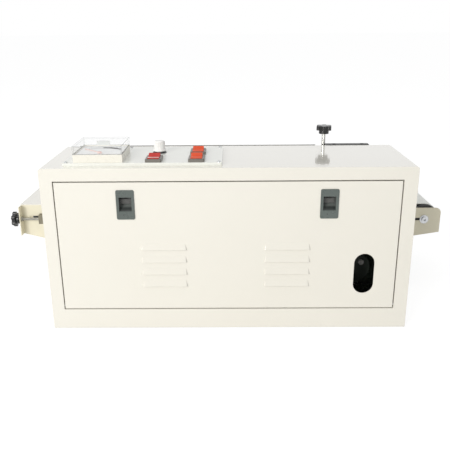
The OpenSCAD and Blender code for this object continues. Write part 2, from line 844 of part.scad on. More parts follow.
module instrument_dial() place() color(WHITE) difference() {
    box([meter_x0 + meter_wall, meter_y0 + meter_wall, dial_z],
        [meter_x0 + meter_w - meter_wall, meter_y0 + meter_d - meter_wall, dial_z + dial_t]);
    rod_z([needle_x, needle_y, dial_z - e], 1.2 + fit, dial_t + 2 * e);
}

module instrument_needle() place() color(BLACK) translate([needle_x, needle_y, 0]) {
    rod_z([0, 0, dial_z - 5], 1.2, dial_t + 5 + gap);
    rod_z([0, 0, needle_z + gap], needle_hub_r, 2.5);
    rotate([0, 0, needle_sweep / 2]) box([-0.7, -8, needle_z + 1], [0.7, needle_len, needle_z + 2]);
}

module instrument_cover() place() color([0.9, 0.95, 0.98, 0.3]) difference() {
    box([meter_x0, meter_y0, panel + meter_base_h],
        [meter_x0 + meter_w, meter_y0 + meter_d, panel + meter_h]);
    box([meter_x0 + cover_t, meter_y0 + cover_t, panel + meter_base_h - e],
        [meter_x0 + meter_w - cover_t, meter_y0 + meter_d - cover_t, panel + meter_h - cover_t]);
}

module potentiometer() place() color(ZINC) translate([knob_x, knob_y, 0]) difference() {
    union() {
        rod_z([0, 0, panel - sheet - 13], 11.5, 13);
        rod_z([0, 0, panel - sheet], bushing_r, sheet + nut_h + knob_gap - gap);
        translate([0, 0, panel]) cylinder(r = bushing_r + 2.5, h = nut_h, $fn = 6);
        for (x = [-5, 0, 5]) box([x - 1, -16, panel - sheet - 11], [x + 1, -10, panel - sheet - 10]);
    }
    rod_z([0, 0, panel - sheet - 9], knob_shaft_r + fit, sheet + nut_h + knob_gap + 10);
}

module speed_knob() place() color(WHITE) translate([knob_x, knob_y, panel + nut_h + knob_gap]) {
    rotate_extrude() polygon([
        [0, 0], [knob_r, 0], [knob_r, 2.5], [knob_r - 1.4, 3.5], [knob_r - 2.6, knob_h - 5],
        [knob_r - 3.6, knob_h - 4], [0, knob_h - 4]
    ]);
    for (a = [0 : 20 : 340]) rotate([0, 0, a])
        rod_z([knob_r - 2.4, 0, 3], 0.9, knob_h - 9);
    shaft = nut_h + knob_gap + sheet + 8;
    translate([0, 0, -shaft]) cylinder(r = knob_shaft_r, h = shaft);
}

module switch_body(p) place() color(BLACK) translate([p[0], p[1], 0]) {
    hw = rocker_w / 2;
    hd = rocker_d / 2;
    ww = well_w / 2;
    wd = well_d / 2;
    difference() {
        union() {
            xy(panel, rocker_h - 1) round_rect([-hw, -hd], [hw, hd], 2.5);
            xy(panel + rocker_h - 1, 1) round_rect([-hw + 1, -hd + 1], [hw - 1, hd - 1], 2);
            box([-ww - 2, -wd - 2, panel - switch_deep], [ww + 2, wd + 2, panel]);
        }
        box([-ww, -wd, panel - well_deep], [ww, wd, panel + rocker_h + e]);
        rod_x([-ww - 2, 0, rocker_pivot], rocker_pin_r + fit, well_w + 4);
    }
    for (y = [-wd + 3, 0, wd - 3])
        box([-3, y - 0.4, panel - switch_deep - 9], [3, y + 0.4, panel - switch_deep]);
}

module rocker(p) place() color(RED) translate([p[0], p[1], rocker_pivot]) rotate([rocker_tilt, 0, 0]) {
    reach = well_d / 2 - 1;
    yz(-well_w / 2 + gap, well_w - 2 * gap) polygon([
        [-reach, 1.5], [-7, -3], [7, -3], [reach, 1.5], [reach, 5.2], [reach - 1, 6], [0, 3.2],
        [-reach + 1, 6], [-reach, 5.2]
    ]);
    rod_x([-well_w / 2 - 1.7, 0, 0], rocker_pin_r, well_w + 3.4);
}

module power_switch_body() switch_body(rockers[0]);
module heater_switch_body() switch_body(rockers[1]);
module belt_switch_body() switch_body(rockers[2]);
module power_rocker() rocker(rockers[0]);
module heater_rocker() rocker(rockers[1]);
module belt_rocker() rocker(rockers[2]);

// ---------- inside the cabinet ----------

module gear_motor() place() color(GREY) difference() {
    union() {
        box([motor_x - gearbox_half, gearbox_y0, motor_z - gearbox_half],
            [motor_x + gearbox_half, rear_in, motor_z + gearbox_half]);
        rod_y([motor_x, gearbox_y0 - motor_len, motor_mid_z], motor_r, motor_len);
        rod_y([motor_x, gearbox_y0 - motor_len - 3, motor_mid_z], 9, 3);
        for (s = [-1, 1])
            rod_y([motor_x + s * 15.5, gearbox_y0 - motor_len - 4, motor_mid_z + s * 13], 5.5, 4);
    }
    rod_y([motor_x, gearbox_y0 + 6, motor_z], shaft_r + fit, gearbox_len + e);
}

module control_board() place() color(GREEN) {
    box([board_x0, board_y0, floor_top + standoff_h],
        [board_x0 + board_w, board_y0 + board_d, floor_top + standoff_h + 1.6]);
    for (x = [board_x0 + 5, board_x0 + board_w - 5], y = [board_y0 + 5, board_y0 + board_d - 5])
        rod_z([x, y, floor_top], 3, standoff_h);
    translate([board_x0, board_y0, floor_top + standoff_h + 1.6]) {
        box([12, 14, 0], [47, 46, 28]);
        for (x = [60, 82]) rod_z([x, 24, 0], 8, 26);
        box([20, 58, 0], [38, 76, 3]);
        for (i = [0 : 4]) box([52 + i * 14, 70, 0], [63 + i * 14, 84, 11]);
    }
}

module heat_sink() place() color(ZINC) {
    box([sink_x0, sink_y0, floor_top], [sink_x0 + sink_w, sink_y0 + sink_d, floor_top + 6]);
    for (i = [0 : 7]) box([sink_x0 + i * (sink_w - 2) / 7, sink_y0, floor_top + 6],
                          [sink_x0 + i * (sink_w - 2) / 7 + 2, sink_y0 + sink_d, floor_top + sink_h]);
}

module solid_state_relays() place() color(BLACK) for (i = [0, 1]) {
    x = sink_x0 + sink_w;
    y = sink_y0 + i * relay_pitch;
    box([x, y, floor_top], [x + relay_t, y + relay_w, floor_top + relay_h]);
    for (z = [8, relay_h - 8]) rod_x([x + relay_t, y + relay_w / 2, floor_top + z], 4, 2);
}

module terminal_block() place() color(WHITE) {
    box([strip_x0, strip_y0, floor_top], [strip_x0 + strip_w, strip_y0 + strip_d, floor_top + strip_h / 2]);
    for (i = [0 : 12])
        box([strip_x0 + i * (strip_w - 2) / 12, strip_y0, floor_top + strip_h / 2],
            [strip_x0 + i * (strip_w - 2) / 12 + 2, strip_y0 + strip_d, floor_top + strip_h]);
}

module fan_frame() place() color(BLACK) difference() {
    union() {
        difference() {
            xz(rear_in - fan_d, fan_d) round_rect([fan_x - fan_w / 2, fan_z - fan_w / 2],
                                                  [fan_x + fan_w / 2, fan_z + fan_w / 2], 4);
            rod_y([fan_x, rear_in - fan_d - e, fan_z], fan_w / 2 - 2, fan_d + 2 * e);
        }
        rod_y([fan_x, rear_in - 3, fan_z], fan_hub_r, 3);
        for (a = [0 : 90 : 270]) translate([fan_x, rear_in - 3, fan_z]) rotate([0, a, 0])
            box([fan_hub_r - 1, 0, -2], [fan_w / 2 - 1, 3, 2]);
    }
    rod_y([fan_x, rear_in - 4, fan_z], 2 + fit, 4 + e);
}

module fan_rotor() place() color(GREY) translate([fan_x, rear_in - fan_d + 1, fan_z]) rotate([-90, 0, 0]) {
    cylinder(r = fan_hub_r, h = fan_d - 5);
    cylinder(r = 2, h = fan_d - 2);
    for (a = [0 : 360 / 7 : 359]) rotate([0, 0, a]) translate([fan_hub_r - 1, 0, (fan_d - 5) / 2])
        rotate([35, 0, 0]) translate([0, -0.8, -(fan_d - 9) / 2])
            cube([fan_w / 2 - fan_hub_r - 2, 1.6, fan_d - 9]);
}

module power_inlet() place() color(BLACK) {
    x0 = inlet_x;
    x1 = inlet_x + inlet_w;
    z0 = inlet_z;
    z1 = inlet_z + inlet_h;
    difference() {
        union() {
            xz(cab_d, 3) round_rect([x0 - 6, z0 - 4], [x1 + 6, z1 + 4], 3);
            box([x0, rear_in - 24, z0], [x1, cab_d, z1]);
        }
        box([x0 + 12, cab_d - 17, z0 + 6], [x1 - 12, cab_d + 3 + e, z1 - 6]);
    }
    for (p = [[-6, -3], [0, 3], [6, -3]])
        box([(x0 + x1) / 2 + p[0] - 1, cab_d - 17, (z0 + z1) / 2 + p[1] - 2],
            [(x0 + x1) / 2 + p[0] + 1, cab_d - 2, (z0 + z1) / 2 + p[1] + 2]);
    for (x = [x0 + 8, x1 - 8]) box([x - 3, rear_in - 32, (z0 + z1) / 2 - 0.4],
                                   [x + 3, rear_in - 24, (z0 + z1) / 2 + 0.4]);
}

// ---------- conveyor ----------

// Outline of a side plate, raised at the tail, with an ear that carries the cross shaft
module side_outline() {
    difference() {
        union() {
            polygon([
                [conv_x0, tail_top], [conv_x0, tail_z - tail_down], [conv_x0 + tail_slope, side_mid_z],
                [motor_x - ear_w, side_mid_z], [motor_x - ear_w + 8, ear_z],
                [motor_x + ear_w - 8, ear_z], [motor_x + ear_w, side_mid_z], [cab_w, side_mid_z],
                [conv_x1, axle_z - side_down], [conv_x1, side_top - corner_r],
                [conv_x1 - corner_r, side_top], [table_x1 + tail_up, side_top], [table_x1, tail_top]
            ]);
            translate([conv_x1 - corner_r, side_top - corner_r]) circle(corner_r);
        }
        slot([tail_x - 27, tail_z], [tail_x + takeup_travel + 1, tail_z], slot_r);
        slot([drive_x - 19, axle_z], [drive_x, axle_z], end_screw_r);
        for (x = tie_xs) translate([x, tie_z]) circle(tie_r);
        translate([end_tie_x, end_tie_z]) circle(tie_r);
        translate([motor_x, motor_z]) circle(shaft_r + fit);
    }
}

module slot(a, b, r) {
    rect([a[0], a[1] - r], [b[0], b[1] + r]);
    for (p = [a, b]) translate(p) circle(r);
}

// Side plate that stands at the near side, with its folded lip towards the front
module side_plate() {
    xz(near_y0, side_t) side_outline();
    difference() {
        box([conv_x0, near_y0 - lip_w, tail_z - tail_down + 0.6], [conv_x0 + side_t, near_y0, tail_top]);
        rod_x([conv_x0 - e, takeup_y, tail_z], takeup_r + fit, side_t + 2 * e);
    }
}

module near_side_plate() place() color(CREAM) side_plate();

module far_side_plate() place() color(CREAM) mirror_y(conveyor_mid) side_plate();

module tie_rods() place() color(STEEL) {
    for (x = tie_xs) {
        rod_y([x, rear_in - rod_near, tie_z], tie_r, far_y1 + rod_far - rear_in + rod_near);
        rod_y([x, cab_d, tie_z], sleeve_r, conveyor_gap);
        rod_y([x, near_y1, tie_z], sleeve_r, sleeve_t);
        rod_y([x, far_y0 - sleeve_t, tie_z], sleeve_r, sleeve_t);
        for (y = [rear_in - nut_t, far_y1]) translate([x, y, tie_z]) rotate([-90, 0, 0])
            cylinder(r = nut_r, h = nut_t, $fn = 6);
    }
    rod_y([end_tie_x, near_y0 - rod_short, end_tie_z], tie_r, conveyor_w + 2 * (side_t + rod_short));
    for (y = [near_y1, far_y0 - sleeve_t]) rod_y([end_tie_x, y, end_tie_z], sleeve_r, sleeve_t);
    for (y = [near_y0 - nut_t, far_y1]) translate([end_tie_x, y, end_tie_z]) rotate([-90, 0, 0])
        cylinder(r = nut_r, h = nut_t, $fn = 6);
}

module rear_legs() place() color(CREAM) for (i = [0, 1]) {
    x0 = i == 0 ? leg_left : motor_x - leg_clear - leg_w;
    x1 = x0 + leg_w;
    difference() {
        union() {
            box([x0, far_y1, 0], [x1, far_y1 + leg_t, side_mid_z + 22]);
            box([x0, far_y1, 0], [x1, far_y1 + leg_foot, leg_t]);
            for (x = [x0, x1 - leg_t]) yz(x, leg_t) polygon([
                [far_y1, 0], [far_y1 + leg_foot, 0], [far_y1 + leg_foot, leg_t],
                [far_y1 + leg_t + 10, 30], [far_y1 + leg_t + 10, side_mid_z + 10],
                [far_y1 + leg_t, side_mid_z + 22], [far_y1, side_mid_z + 22]
            ]);
        }
        for (y = leg_hole_ys) rod_z([(x0 + x1) / 2, y, -e], leg_hole_r, leg_t + 2 * e);
    }
    for (x = [x0 + 11, x1 - 11])
        translate([x, far_y1 + leg_t, side_mid_z + 11]) rotate([-90, 0, 0])
            cylinder(r = 5, h = 3.5, $fn = 6);
}

leg_hole_ys = [far_y1 + leg_foot - 9 - leg_hole_pitch, far_y1 + leg_foot - 9];

module infeed_table() place() color(CREAM) {
    box([conv_x0, near_y0, tail_top], [table_x1, far_y1, tail_top + side_t]);
    for (y = [near_y1, far_y0 - side_t])
        box([conv_x0 + side_t + 1, y, tail_top - 14], [tail_x - tail_r - 6, y + side_t, tail_top]);
}

module belt_bed() place() color(ZINC) difference() {
    union() {
        box([bed_x0 + nose_r, near_y1, bed_top - bed_t], [bed_x1, far_y0, bed_top]);
        for (y = [near_y1, far_y0 - bed_t])
            box([bed_x0 + nose_r, y, side_top - 16], [bed_x1, y + bed_t, bed_top]);
        rod_y([bed_x0 + nose_r, belt_y0 - 3, bed_top - nose_r], nose_r, belt_w + 6);
    }
    rod_y([end_tie_x, near_y1 - e, end_tie_z], sleeve_r, conveyor_w + 2 * e);
    for (i = [0 : 11]) {
        x = tray_x0 + 12 + i * (tray_x1 - tray_x0 - 24) / 12;
        for (y = [belt_y0 + 12, (belt_y0 + belt_y1) / 2 + 3])
            xy(bed_top - bed_t - e, bed_t + 2 * e)
                round_rect([x + 4, y], [x + 32, y + belt_w / 2 - 15], 3);
    }
}

module conveyor_belt() place() color(WHITE)
    belt_loop([drive_circle, nose_circle, tail_circle], belt_y0, belt_w, belt_t);

module drive_axle() place() color(STEEL)
    rod_y([drive_x, near_y1, axle_z], axle_r, conveyor_w);

module axle_screws() place() color(STEEL) {
    end_screw();
    mirror_y(conveyor_mid) end_screw();
}

module end_screw() {
    rod_y([drive_x, near_y0 - 2, axle_z], 9.8, 2);
    difference() {
        rod_y([drive_x, near_y0 - 6.5, axle_z], 6, 4.5);
        translate([drive_x, near_y0 - 7, axle_z]) rotate([-90, 0, 0]) cylinder(r = 2.9, h = 3.5, $fn = 6);
    }
    rod_y([drive_x, near_y0 - e, axle_z], end_screw_r - 0.1, side_t + e);
}

// Hollow roller with end caps, turned about an axle through [x, z]
module roller(at, r, bore, y0, y1) translate([at[0], y0, at[1]]) rotate([-90, 0, 0]) rotate_extrude()
    polygon([
        [bore, 0], [r - 1, 0], [r, 1], [r, y1 - y0 - 1], [r - 1, y1 - y0], [bore, y1 - y0],
        [bore, y1 - y0 - 6], [r - roller_wall, y1 - y0 - 6], [r - roller_wall, 6], [bore, 6]
    ]);

module drive_roller() place() color(BLACK) {
    roller([drive_x, axle_z], drive_r, axle_r + fit, roller_y0, belt_y1 + 2);
    translate([drive_x, belt_y1 + 2, axle_z]) rotate([-90, 0, 0])
        pulley(roller_pulley_r, axle_r + fit, pulley_y0 - belt_y1 - 2);
}

// Flanged pulley whose neck starts at height 0 and whose belt groove starts at height neck
module pulley(r, bore, neck) rotate_extrude() polygon([
    [bore, 0], [pulley_hub_r, 0], [pulley_hub_r, neck - pulley_rim], [r + 3, neck - pulley_rim],
    [r + 3, neck], [r, neck], [r, neck + drive_belt_w + 1], [r + 3, neck + drive_belt_w + 1],
    [r + 3, neck + drive_belt_w + 1 + pulley_rim], [bore, neck + drive_belt_w + 1 + pulley_rim]
]);

module cross_shaft() place() color(STEEL) translate([motor_x, 0, motor_z]) rotate([-90, 0, 0]) {
    translate([0, 0, gearbox_y0 + 8]) cylinder(r = shaft_r, h = far_y1 + 6 - gearbox_y0 - 8);
    translate([0, 0, pulley_y0 - 6]) pulley(motor_pulley_r, shaft_r - e, 6);
    for (y = [near_y1 + gap, far_y1 + gap]) translate([0, 0, y]) cylinder(r = shaft_r + 3, h = 3);
}

module drive_belt() place() color(BLACK)
    belt_loop([roller_circle, motor_circle], pulley_y0 + 0.5, drive_belt_w, drive_belt_t);

// Sliding shoe on the far side plate that keeps the drive belt tight
module drive_belt_shoe() place() color(WHITE) {
    t = tangent(roller_circle, motor_circle);
    a = [drive_x, axle_z] + t * (roller_circle[2] + drive_belt_t);
    b = [motor_x, motor_z] + t * (motor_circle[2] + drive_belt_t);
    translate([(a[0] + b[0]) / 2, 0, (a[1] + b[1]) / 2]) rotate([0, atan2(t[0], t[1]), 0])
        yz(-shoe_len / 2, shoe_len) rect([pulley_y0 + 0.5, 0], [far_y0, 9]);
}

module idler_roller() place() color(ZINC)
    roller([tail_x, tail_z], tail_r, axle_r + fit, roller_y0, far_y0 - 2.5);

module idler_axle() place() color(STEEL)
    rod_y([tail_x, block_y1 - 5, tail_z], axle_r, 2 * (conveyor_mid - block_y1 + 5));

module takeup_blocks() place() color(GREY) {
    takeup_block();
    mirror_y(conveyor_mid) takeup_block();
}

module takeup_block() difference() {
    box([tail_x - block_w / 2, block_y0, tail_z - block_h / 2],
        [tail_x + block_w / 2, block_y1, tail_z + block_h / 2]);
    rod_y([tail_x, block_y1 - 5, tail_z], axle_r, 5 + e);
    rod_x([tail_x - block_w / 2 - e, takeup_y, tail_z], takeup_r + fit, block_w + 2 * e);
}

// Threaded stud moulded into a star knob, with a collar behind the folded lip
module takeup_screw() {
    rod_x([conv_x0 - 1.5 - e, takeup_y, tail_z], takeup_r, takeup_tip - conv_x0 + 1.5 + e);
    rod_x([conv_x0 + side_t + gap, takeup_y, tail_z], takeup_r + 2.5, 3);
    translate([conv_x0 - 1.5, takeup_y, tail_z]) rotate([0, -90, 0]) star_knob(star_h);
}

module takeup_screw_near() place() color(STEEL) takeup_screw();
module takeup_screw_far() place() color(STEEL) mirror_y(conveyor_mid) takeup_screw();

// ---------- tunnel ----------

heater_ys = [for (i = [0 : heater_count - 1])
    tray_y0 + (i + 0.5) * (tray_y1 - tray_y0) / heater_count];
tray_heater_z = tray_z0 + tray_h - heater_r - 8;

module heater_tray() place() color(ZINC) difference() {
    box([tray_x0, tray_y0, tray_z0], [tray_x1, tray_y1, tray_z0 + tray_h]);
    box([tray_x0 + tray_t, tray_y0 + tray_t, tray_z0 + tray_t],
        [tray_x1 - tray_t, tray_y1 - tray_t, tray_z0 + tray_h + e]);
    for (y = heater_ys) rod_x([tray_x0 - e, y, tray_heater_z], heater_r, tray_x1 - tray_x0 + 2 * e);
}

// Quartz tubes with a ceramic cap at each end, along X
module heater_tubes(x0, x1, z, ys) for (y = ys) {
    rod_x([x0 - 2, y, z], heater_r, x1 - x0 + 4);
    for (x = [x0 - cap_len, x1]) rod_x([x, y, z], cap_r, cap_len);
}

module lower_heaters() place() color([0.85, 0.8, 0.72])
    heater_tubes(tray_x0, tray_x1, tray_heater_z, heater_ys);

module heat_shield() place() color(STEEL) difference() {
    union() {
        box([hood_x, cab_d + 4, side_top + 8], [lug_x0 - 6, cab_d + 5, cab_top + 1]);
        for (z = [side_top + 8, cab_top - 40])
            box([hood_x, cab_d, z], [lug_x0 - 6, cab_d + 4, z + 1]);
    }
}

// Open-bottomed sheet box with a board passage through both ends
module tunnel_cover(x0, x1, y0, y1, z0, z1, mouth) difference() {
    box([x0, y0, z0], [x1, y1, z1]);
    box([x0 + hood_t, y0 + hood_t, z0 - e], [x1 - hood_t, y1 - hood_t, z1 - hood_t]);
    box([x0 - e, y0 + hood_t, z0 - e], [x1 + e, y1 - hood_t, mouth]);
}

// Perforated inner roof that leaves an air gap under the outer one
module liner(x0, x1, y0, y1, z) difference() {
    box([x0 + hood_t, y0 + hood_t, z], [x1 - hood_t, y1 - hood_t, z + 1]);
    for (x = [x0 + 30 : 40 : x1 - 30], y = [y0 + 45, y1 - 45])
        xy(z - e, 1 + 2 * e) round_rect([x - 3, y - 20], [x + 3, y + 20], 2.9);
}

module preheat_hood() place() color(CREAM) {
    tunnel_cover(hood_x, hood_x1, hood_y0, hood_y1, hood_z0, hood_z1, passage_z);
    liner(hood_x, hood_x1, hood_y0, hood_y1, hood_z1 - hood_t - liner_gap);
    // Hinge leaves and knuckles on the back
    for (x = hinge_xs) {
        box([x - knuckle_len / 2, hood_y1, hood_z0 + 2], [x + knuckle_len / 2, hood_y1 + 2, hood_z0 + 24]);
        difference() {
            union() {
                rod_x([x - knuckle_len / 2, hinge_y, hinge_z], knuckle_r - 0.6, knuckle_len);
                box([x - knuckle_len / 2, hinge_y - knuckle_r + 0.6, hinge_z],
                    [x + knuckle_len / 2, hinge_y - knuckle_r + 2.4, hood_z0 + 6]);
            }
            rod_x([x - knuckle_len / 2 - e, hinge_y, hinge_z], hinge_r + fit, knuckle_len + 2 * e);
        }
    }
    // Lifting handle on the roof near the front
    for (x = [hood_x + handle_in, hood_x1 - handle_in])
        rod_z([x, hood_y0 + 20, hood_z1 - 1], handle_r, handle_up + 1);
    rod_x([hood_x + handle_in - handle_r, hood_y0 + 20, hood_z1 + handle_up], handle_r,
          hood_x1 - hood_x - 2 * (handle_in - handle_r));
}

module hood_hinge_pins() place() color(STEEL) for (x = hinge_xs) {
    rod_x([x - knuckle_len / 2 - pin_over, hinge_y, hinge_z], hinge_r, knuckle_len + 2 * pin_over);
    for (s = [-1, 1]) {
        lo = x + (s < 0 ? -knuckle_len / 2 - pin_over : knuckle_len / 2 + pin_over - clip_t);
        box([lo, far_y1, hinge_z - 5], [lo + clip_t, hinge_y + hinge_r + 1.5, hinge_z + 4]);
    }
}

module reflow_head() place() color(STEEL) {
    difference() {
        tunnel_cover(head_x0, head_x1, head_y0, head_y1, head_z0, head_z1, head_mouth);
        for (y = head_heater_ys) rod_x([head_x0 - e, y, head_heater_z], heater_r, head_len + 2 * e);
    }
    liner(head_x0, head_x1, head_y0, head_y1, head_heater_z + heater_r + 8);
}

head_heater_z = head_mouth + heater_r + 10;
head_heater_ys = [for (i = [0 : heater_count - 1])
    head_y0 + 14 + i * (head_y1 - head_y0 - 28) / (heater_count - 1)];

module head_heaters() place() color([0.85, 0.8, 0.72])
    heater_tubes(head_x0, head_x1, head_heater_z, head_heater_ys);

// Block that runs on the guides, carries the head and holds the spindle nut
module lift_carriage() place() color(BLACK) difference() {
    union() {
        box([lift_x0, lift_y0, lift_z0], [lift_x1, lift_y1, lift_z1]);
        box([lug_x0, lift_y0, lift_z0], [lift_x0, lift_y1, lug_z1]);
    }
    for (x = guide_xs) rod_z([x, spindle_y, lift_z0 - e], guide_r + fit, lift_z1 - lift_z0 + 2 * e);
    rod_z([spindle_x, spindle_y, lift_z0 - e], spindle_r + fit, lift_z1 - lift_z0 + 2 * e);
}

// Shelf on the back of the cabinet with the two guide posts
module lift_frame() place() color(ZINC) {
    difference() {
        union() {
            box([lug_x0, cab_d, shelf_z1 - shelf_t], [lift_x1, lift_y1 - 1, shelf_z1]);
            box([lug_x0, cab_d, shelf_z1 - 28], [lift_x1, cab_d + 2 - gap, shelf_z1]);
        }
        rod_z([spindle_x, spindle_y, shelf_z1 - shelf_t - e], spindle_r + fit, shelf_t + 2 * e);
    }
    for (x = guide_xs) rod_z([x, spindle_y, shelf_z1], guide_r, guide_top - shelf_z1);
}

module lift_spindle() place() color(STEEL) translate([spindle_x, spindle_y, 0]) {
    foot = shelf_z1 - shelf_t - 6;
    rod_z([0, 0, foot], spindle_r, lift_star_z + lift_star_h / 2 - foot);
    rod_z([0, 0, shelf_z1 + 0.1], collar_r - 1.5, collar_t);
    rod_z([0, 0, shelf_z1 - shelf_t - 3.1], collar_r - 2, 3);
}

module lift_knob() place() color(BLACK) translate([spindle_x, spindle_y, lift_star_z])
    difference() {
        rotate([0, 0, 20]) star_knob(lift_star_h);
        translate([0, 0, -e]) cylinder(r = spindle_r, h = lift_star_h / 2 + e);
    }

cabinet_shell();
base_plate();
rear_panel();
rubber_feet();
panel_screws();
door_pivot_pins();
front_door();
latch_bezels();
left_latch_bolt();
right_latch_bolt();
control_plate();
instrument_case();
instrument_dial();
instrument_needle();
instrument_cover();
potentiometer();
speed_knob();
power_switch_body();
power_rocker();
heater_switch_body();
heater_rocker();
belt_switch_body();
belt_rocker();
gear_motor();
control_board();
heat_sink();
solid_state_relays();
terminal_block();
fan_frame();
fan_rotor();
power_inlet();
near_side_plate();
far_side_plate();
tie_rods();
rear_legs();
infeed_table();
belt_bed();
conveyor_belt();
drive_axle();
axle_screws();
drive_roller();
cross_shaft();
drive_belt();
drive_belt_shoe();
idler_roller();
idler_axle();
takeup_blocks();
takeup_screw_near();
takeup_screw_far();
heater_tray();
lower_heaters();
heat_shield();
preheat_hood();
hood_hinge_pins();
reflow_head();
head_heaters();
lift_frame();
lift_carriage();
lift_spindle();
lift_knob();
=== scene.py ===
"""Looks of the benchtop conveyor reflow oven: materials, small trim, studio and camera."""

import math
import random

import bmesh
import bpy
from mathutils import Matrix, Vector


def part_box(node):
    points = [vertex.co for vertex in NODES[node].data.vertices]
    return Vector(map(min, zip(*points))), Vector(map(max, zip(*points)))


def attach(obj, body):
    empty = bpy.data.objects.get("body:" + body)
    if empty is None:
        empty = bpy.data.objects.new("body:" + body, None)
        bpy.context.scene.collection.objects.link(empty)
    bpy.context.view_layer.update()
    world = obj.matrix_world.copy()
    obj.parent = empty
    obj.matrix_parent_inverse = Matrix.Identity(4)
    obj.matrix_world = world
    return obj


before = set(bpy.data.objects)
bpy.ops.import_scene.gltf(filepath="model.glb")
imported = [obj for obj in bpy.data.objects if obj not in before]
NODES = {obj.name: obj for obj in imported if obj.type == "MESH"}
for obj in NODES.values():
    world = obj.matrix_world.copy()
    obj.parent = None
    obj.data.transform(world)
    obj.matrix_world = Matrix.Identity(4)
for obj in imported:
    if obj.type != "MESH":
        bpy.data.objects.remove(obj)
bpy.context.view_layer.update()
random.seed(7)

MM = 0.001
BEVEL_SAMPLES = 4
FINE_GRAIN = 0.00001


# ---------------------------------------------------------------- node helpers


class Tree:
    """Short names for building one procedural material."""

    def __init__(self, name):
        self.material = bpy.data.materials.new(name)
        self.material.use_nodes = True
        self.nodes = self.material.node_tree.nodes
        self.links = self.material.node_tree.links
        self.nodes.clear()
        self.out = self.nodes.new("ShaderNodeOutputMaterial")
        self.shader = self.nodes.new("ShaderNodeBsdfPrincipled")
        self.links.new(self.shader.outputs[0], self.out.inputs[0])
        self.coords = self.nodes.new("ShaderNodeTexCoord").outputs["Object"]
        self.last_normal = None

    def link(self, a, b):
        self.links.new(a, b)

    def mapped(self, scale):
        n = self.nodes.new("ShaderNodeMapping")
        n.inputs["Scale"].default_value = scale
        self.link(self.coords, n.inputs["Vector"])
        return n.outputs[0]

    def noise(self, scale, detail=3.0, rough=0.5, vector=None):
        n = self.nodes.new("ShaderNodeTexNoise")
        n.inputs["Scale"].default_value = scale
        n.inputs["Detail"].default_value = detail
        n.inputs["Roughness"].default_value = rough
        self.link(vector or self.coords, n.inputs["Vector"])
        return n.outputs["Fac"]

    def cells(self, scale, output="Distance"):
        n = self.nodes.new("ShaderNodeTexVoronoi")
        n.inputs["Scale"].default_value = scale
        self.link(self.coords, n.inputs["Vector"])
        return n.outputs[output]

    def waves(self, scale, axis, distortion=0.0):
        n = self.nodes.new("ShaderNodeTexWave")
        n.bands_direction = axis
        n.inputs["Scale"].default_value = scale
        n.inputs["Distortion"].default_value = distortion
        self.link(self.coords, n.inputs["Vector"])
        return n.outputs["Fac"]

    def span(self, value, lo, hi, new_lo=0.0, new_hi=1.0):
        n = self.nodes.new("ShaderNodeMapRange")
        n.inputs["From Min"].default_value = lo
        n.inputs["From Max"].default_value = hi
        n.inputs["To Min"].default_value = new_lo
        n.inputs["To Max"].default_value = new_hi
        self.link(value, n.inputs["Value"])
        return n.outputs[0]

    def math(self, op, a, b=0.0):
        n = self.nodes.new("ShaderNodeMath")
        n.operation = op
        for socket, v in zip(n.inputs, (a, b)):
            if isinstance(v, (int, float)):
                socket.default_value = v
            else:
                self.link(v, socket)
        return n.outputs[0]

    def axis(self, letter):
        n = self.nodes.new("ShaderNodeSeparateXYZ")
        self.link(self.coords, n.inputs[0])
        return n.outputs["XYZ".index(letter)]

    def mix(self, fac, a, b):
        n = self.nodes.new("ShaderNodeMix")
        n.data_type = "RGBA"
        n.clamp_factor = True
        for socket, v in ((n.inputs[0], fac), (n.inputs[6], a), (n.inputs[7], b)):
            if isinstance(v, (int, float)):
                socket.default_value = v
            elif isinstance(v, tuple):
                socket.default_value = (*v[:3], 1.0)
            else:
                self.link(v, socket)
        return n.outputs[2]

    def corner_shade(self, distance):
        # Ambient occlusion, used as the mask for painted shade in corners and recesses
        n = self.nodes.new("ShaderNodeAmbientOcclusion")
        n.samples = 6
        n.inputs["Distance"].default_value = distance
        return n.outputs["AO"]

    def rounded(self, radius):
        n = self.nodes.new("ShaderNodeBevel")
        n.samples = BEVEL_SAMPLES
        n.inputs["Radius"].default_value = radius
        self.last_normal = n.outputs[0]

    def bump(self, height, distance):
        n = self.nodes.new("ShaderNodeBump")
        n.inputs["Strength"].default_value = 1.0
        n.inputs["Distance"].default_value = distance
        self.link(height, n.inputs["Height"])
        if self.last_normal is not None:
            self.link(self.last_normal, n.inputs["Normal"])
        self.last_normal = n.outputs[0]

    def colour(self, value):
        self.put("Base Color", value)

    def put(self, name, value):
        socket = self.shader.inputs[name]
        if isinstance(value, (int, float)):
            socket.default_value = value
        elif isinstance(value, tuple):
            socket.default_value = (*value[:3], 1.0)
        else:
            self.link(value, socket)

    def done(self):
        if self.last_normal is not None:
            self.link(self.last_normal, self.shader.inputs["Normal"])
        return self.material


# ---------------------------------------------------------------- materials


def paint(name, pale, deep, rough, coat=0.35):
    """Powder coat or enamel: slow tone drift, fine orange peel, a little painted shade in
    corners.
    """
    t = Tree(name)
    t.rounded(0.6 * MM)
    base = t.mix(t.span(t.noise(2.2, 3, 0.5), 0.35, 0.68), pale, deep)
    # Painted shade: the paint is darkened where ambient occlusion finds corners and recesses
    dust_and_painted_shade = t.span(t.corner_shade(8 * MM), 0.3, 0.9, 0.1, 0.0)
    t.colour(t.mix(dust_and_painted_shade, base, tuple(c * 0.6 for c in deep)))
    t.put("Roughness", t.span(t.noise(16, 4, 0.5), 0.3, 0.7, rough - 0.03, rough + 0.04))
    t.put("Coat Weight", coat)
    t.put("Coat Roughness", 0.035)
    t.bump(t.noise(1300, 2, 0.5), 0.02 * MM)
    return t.done()


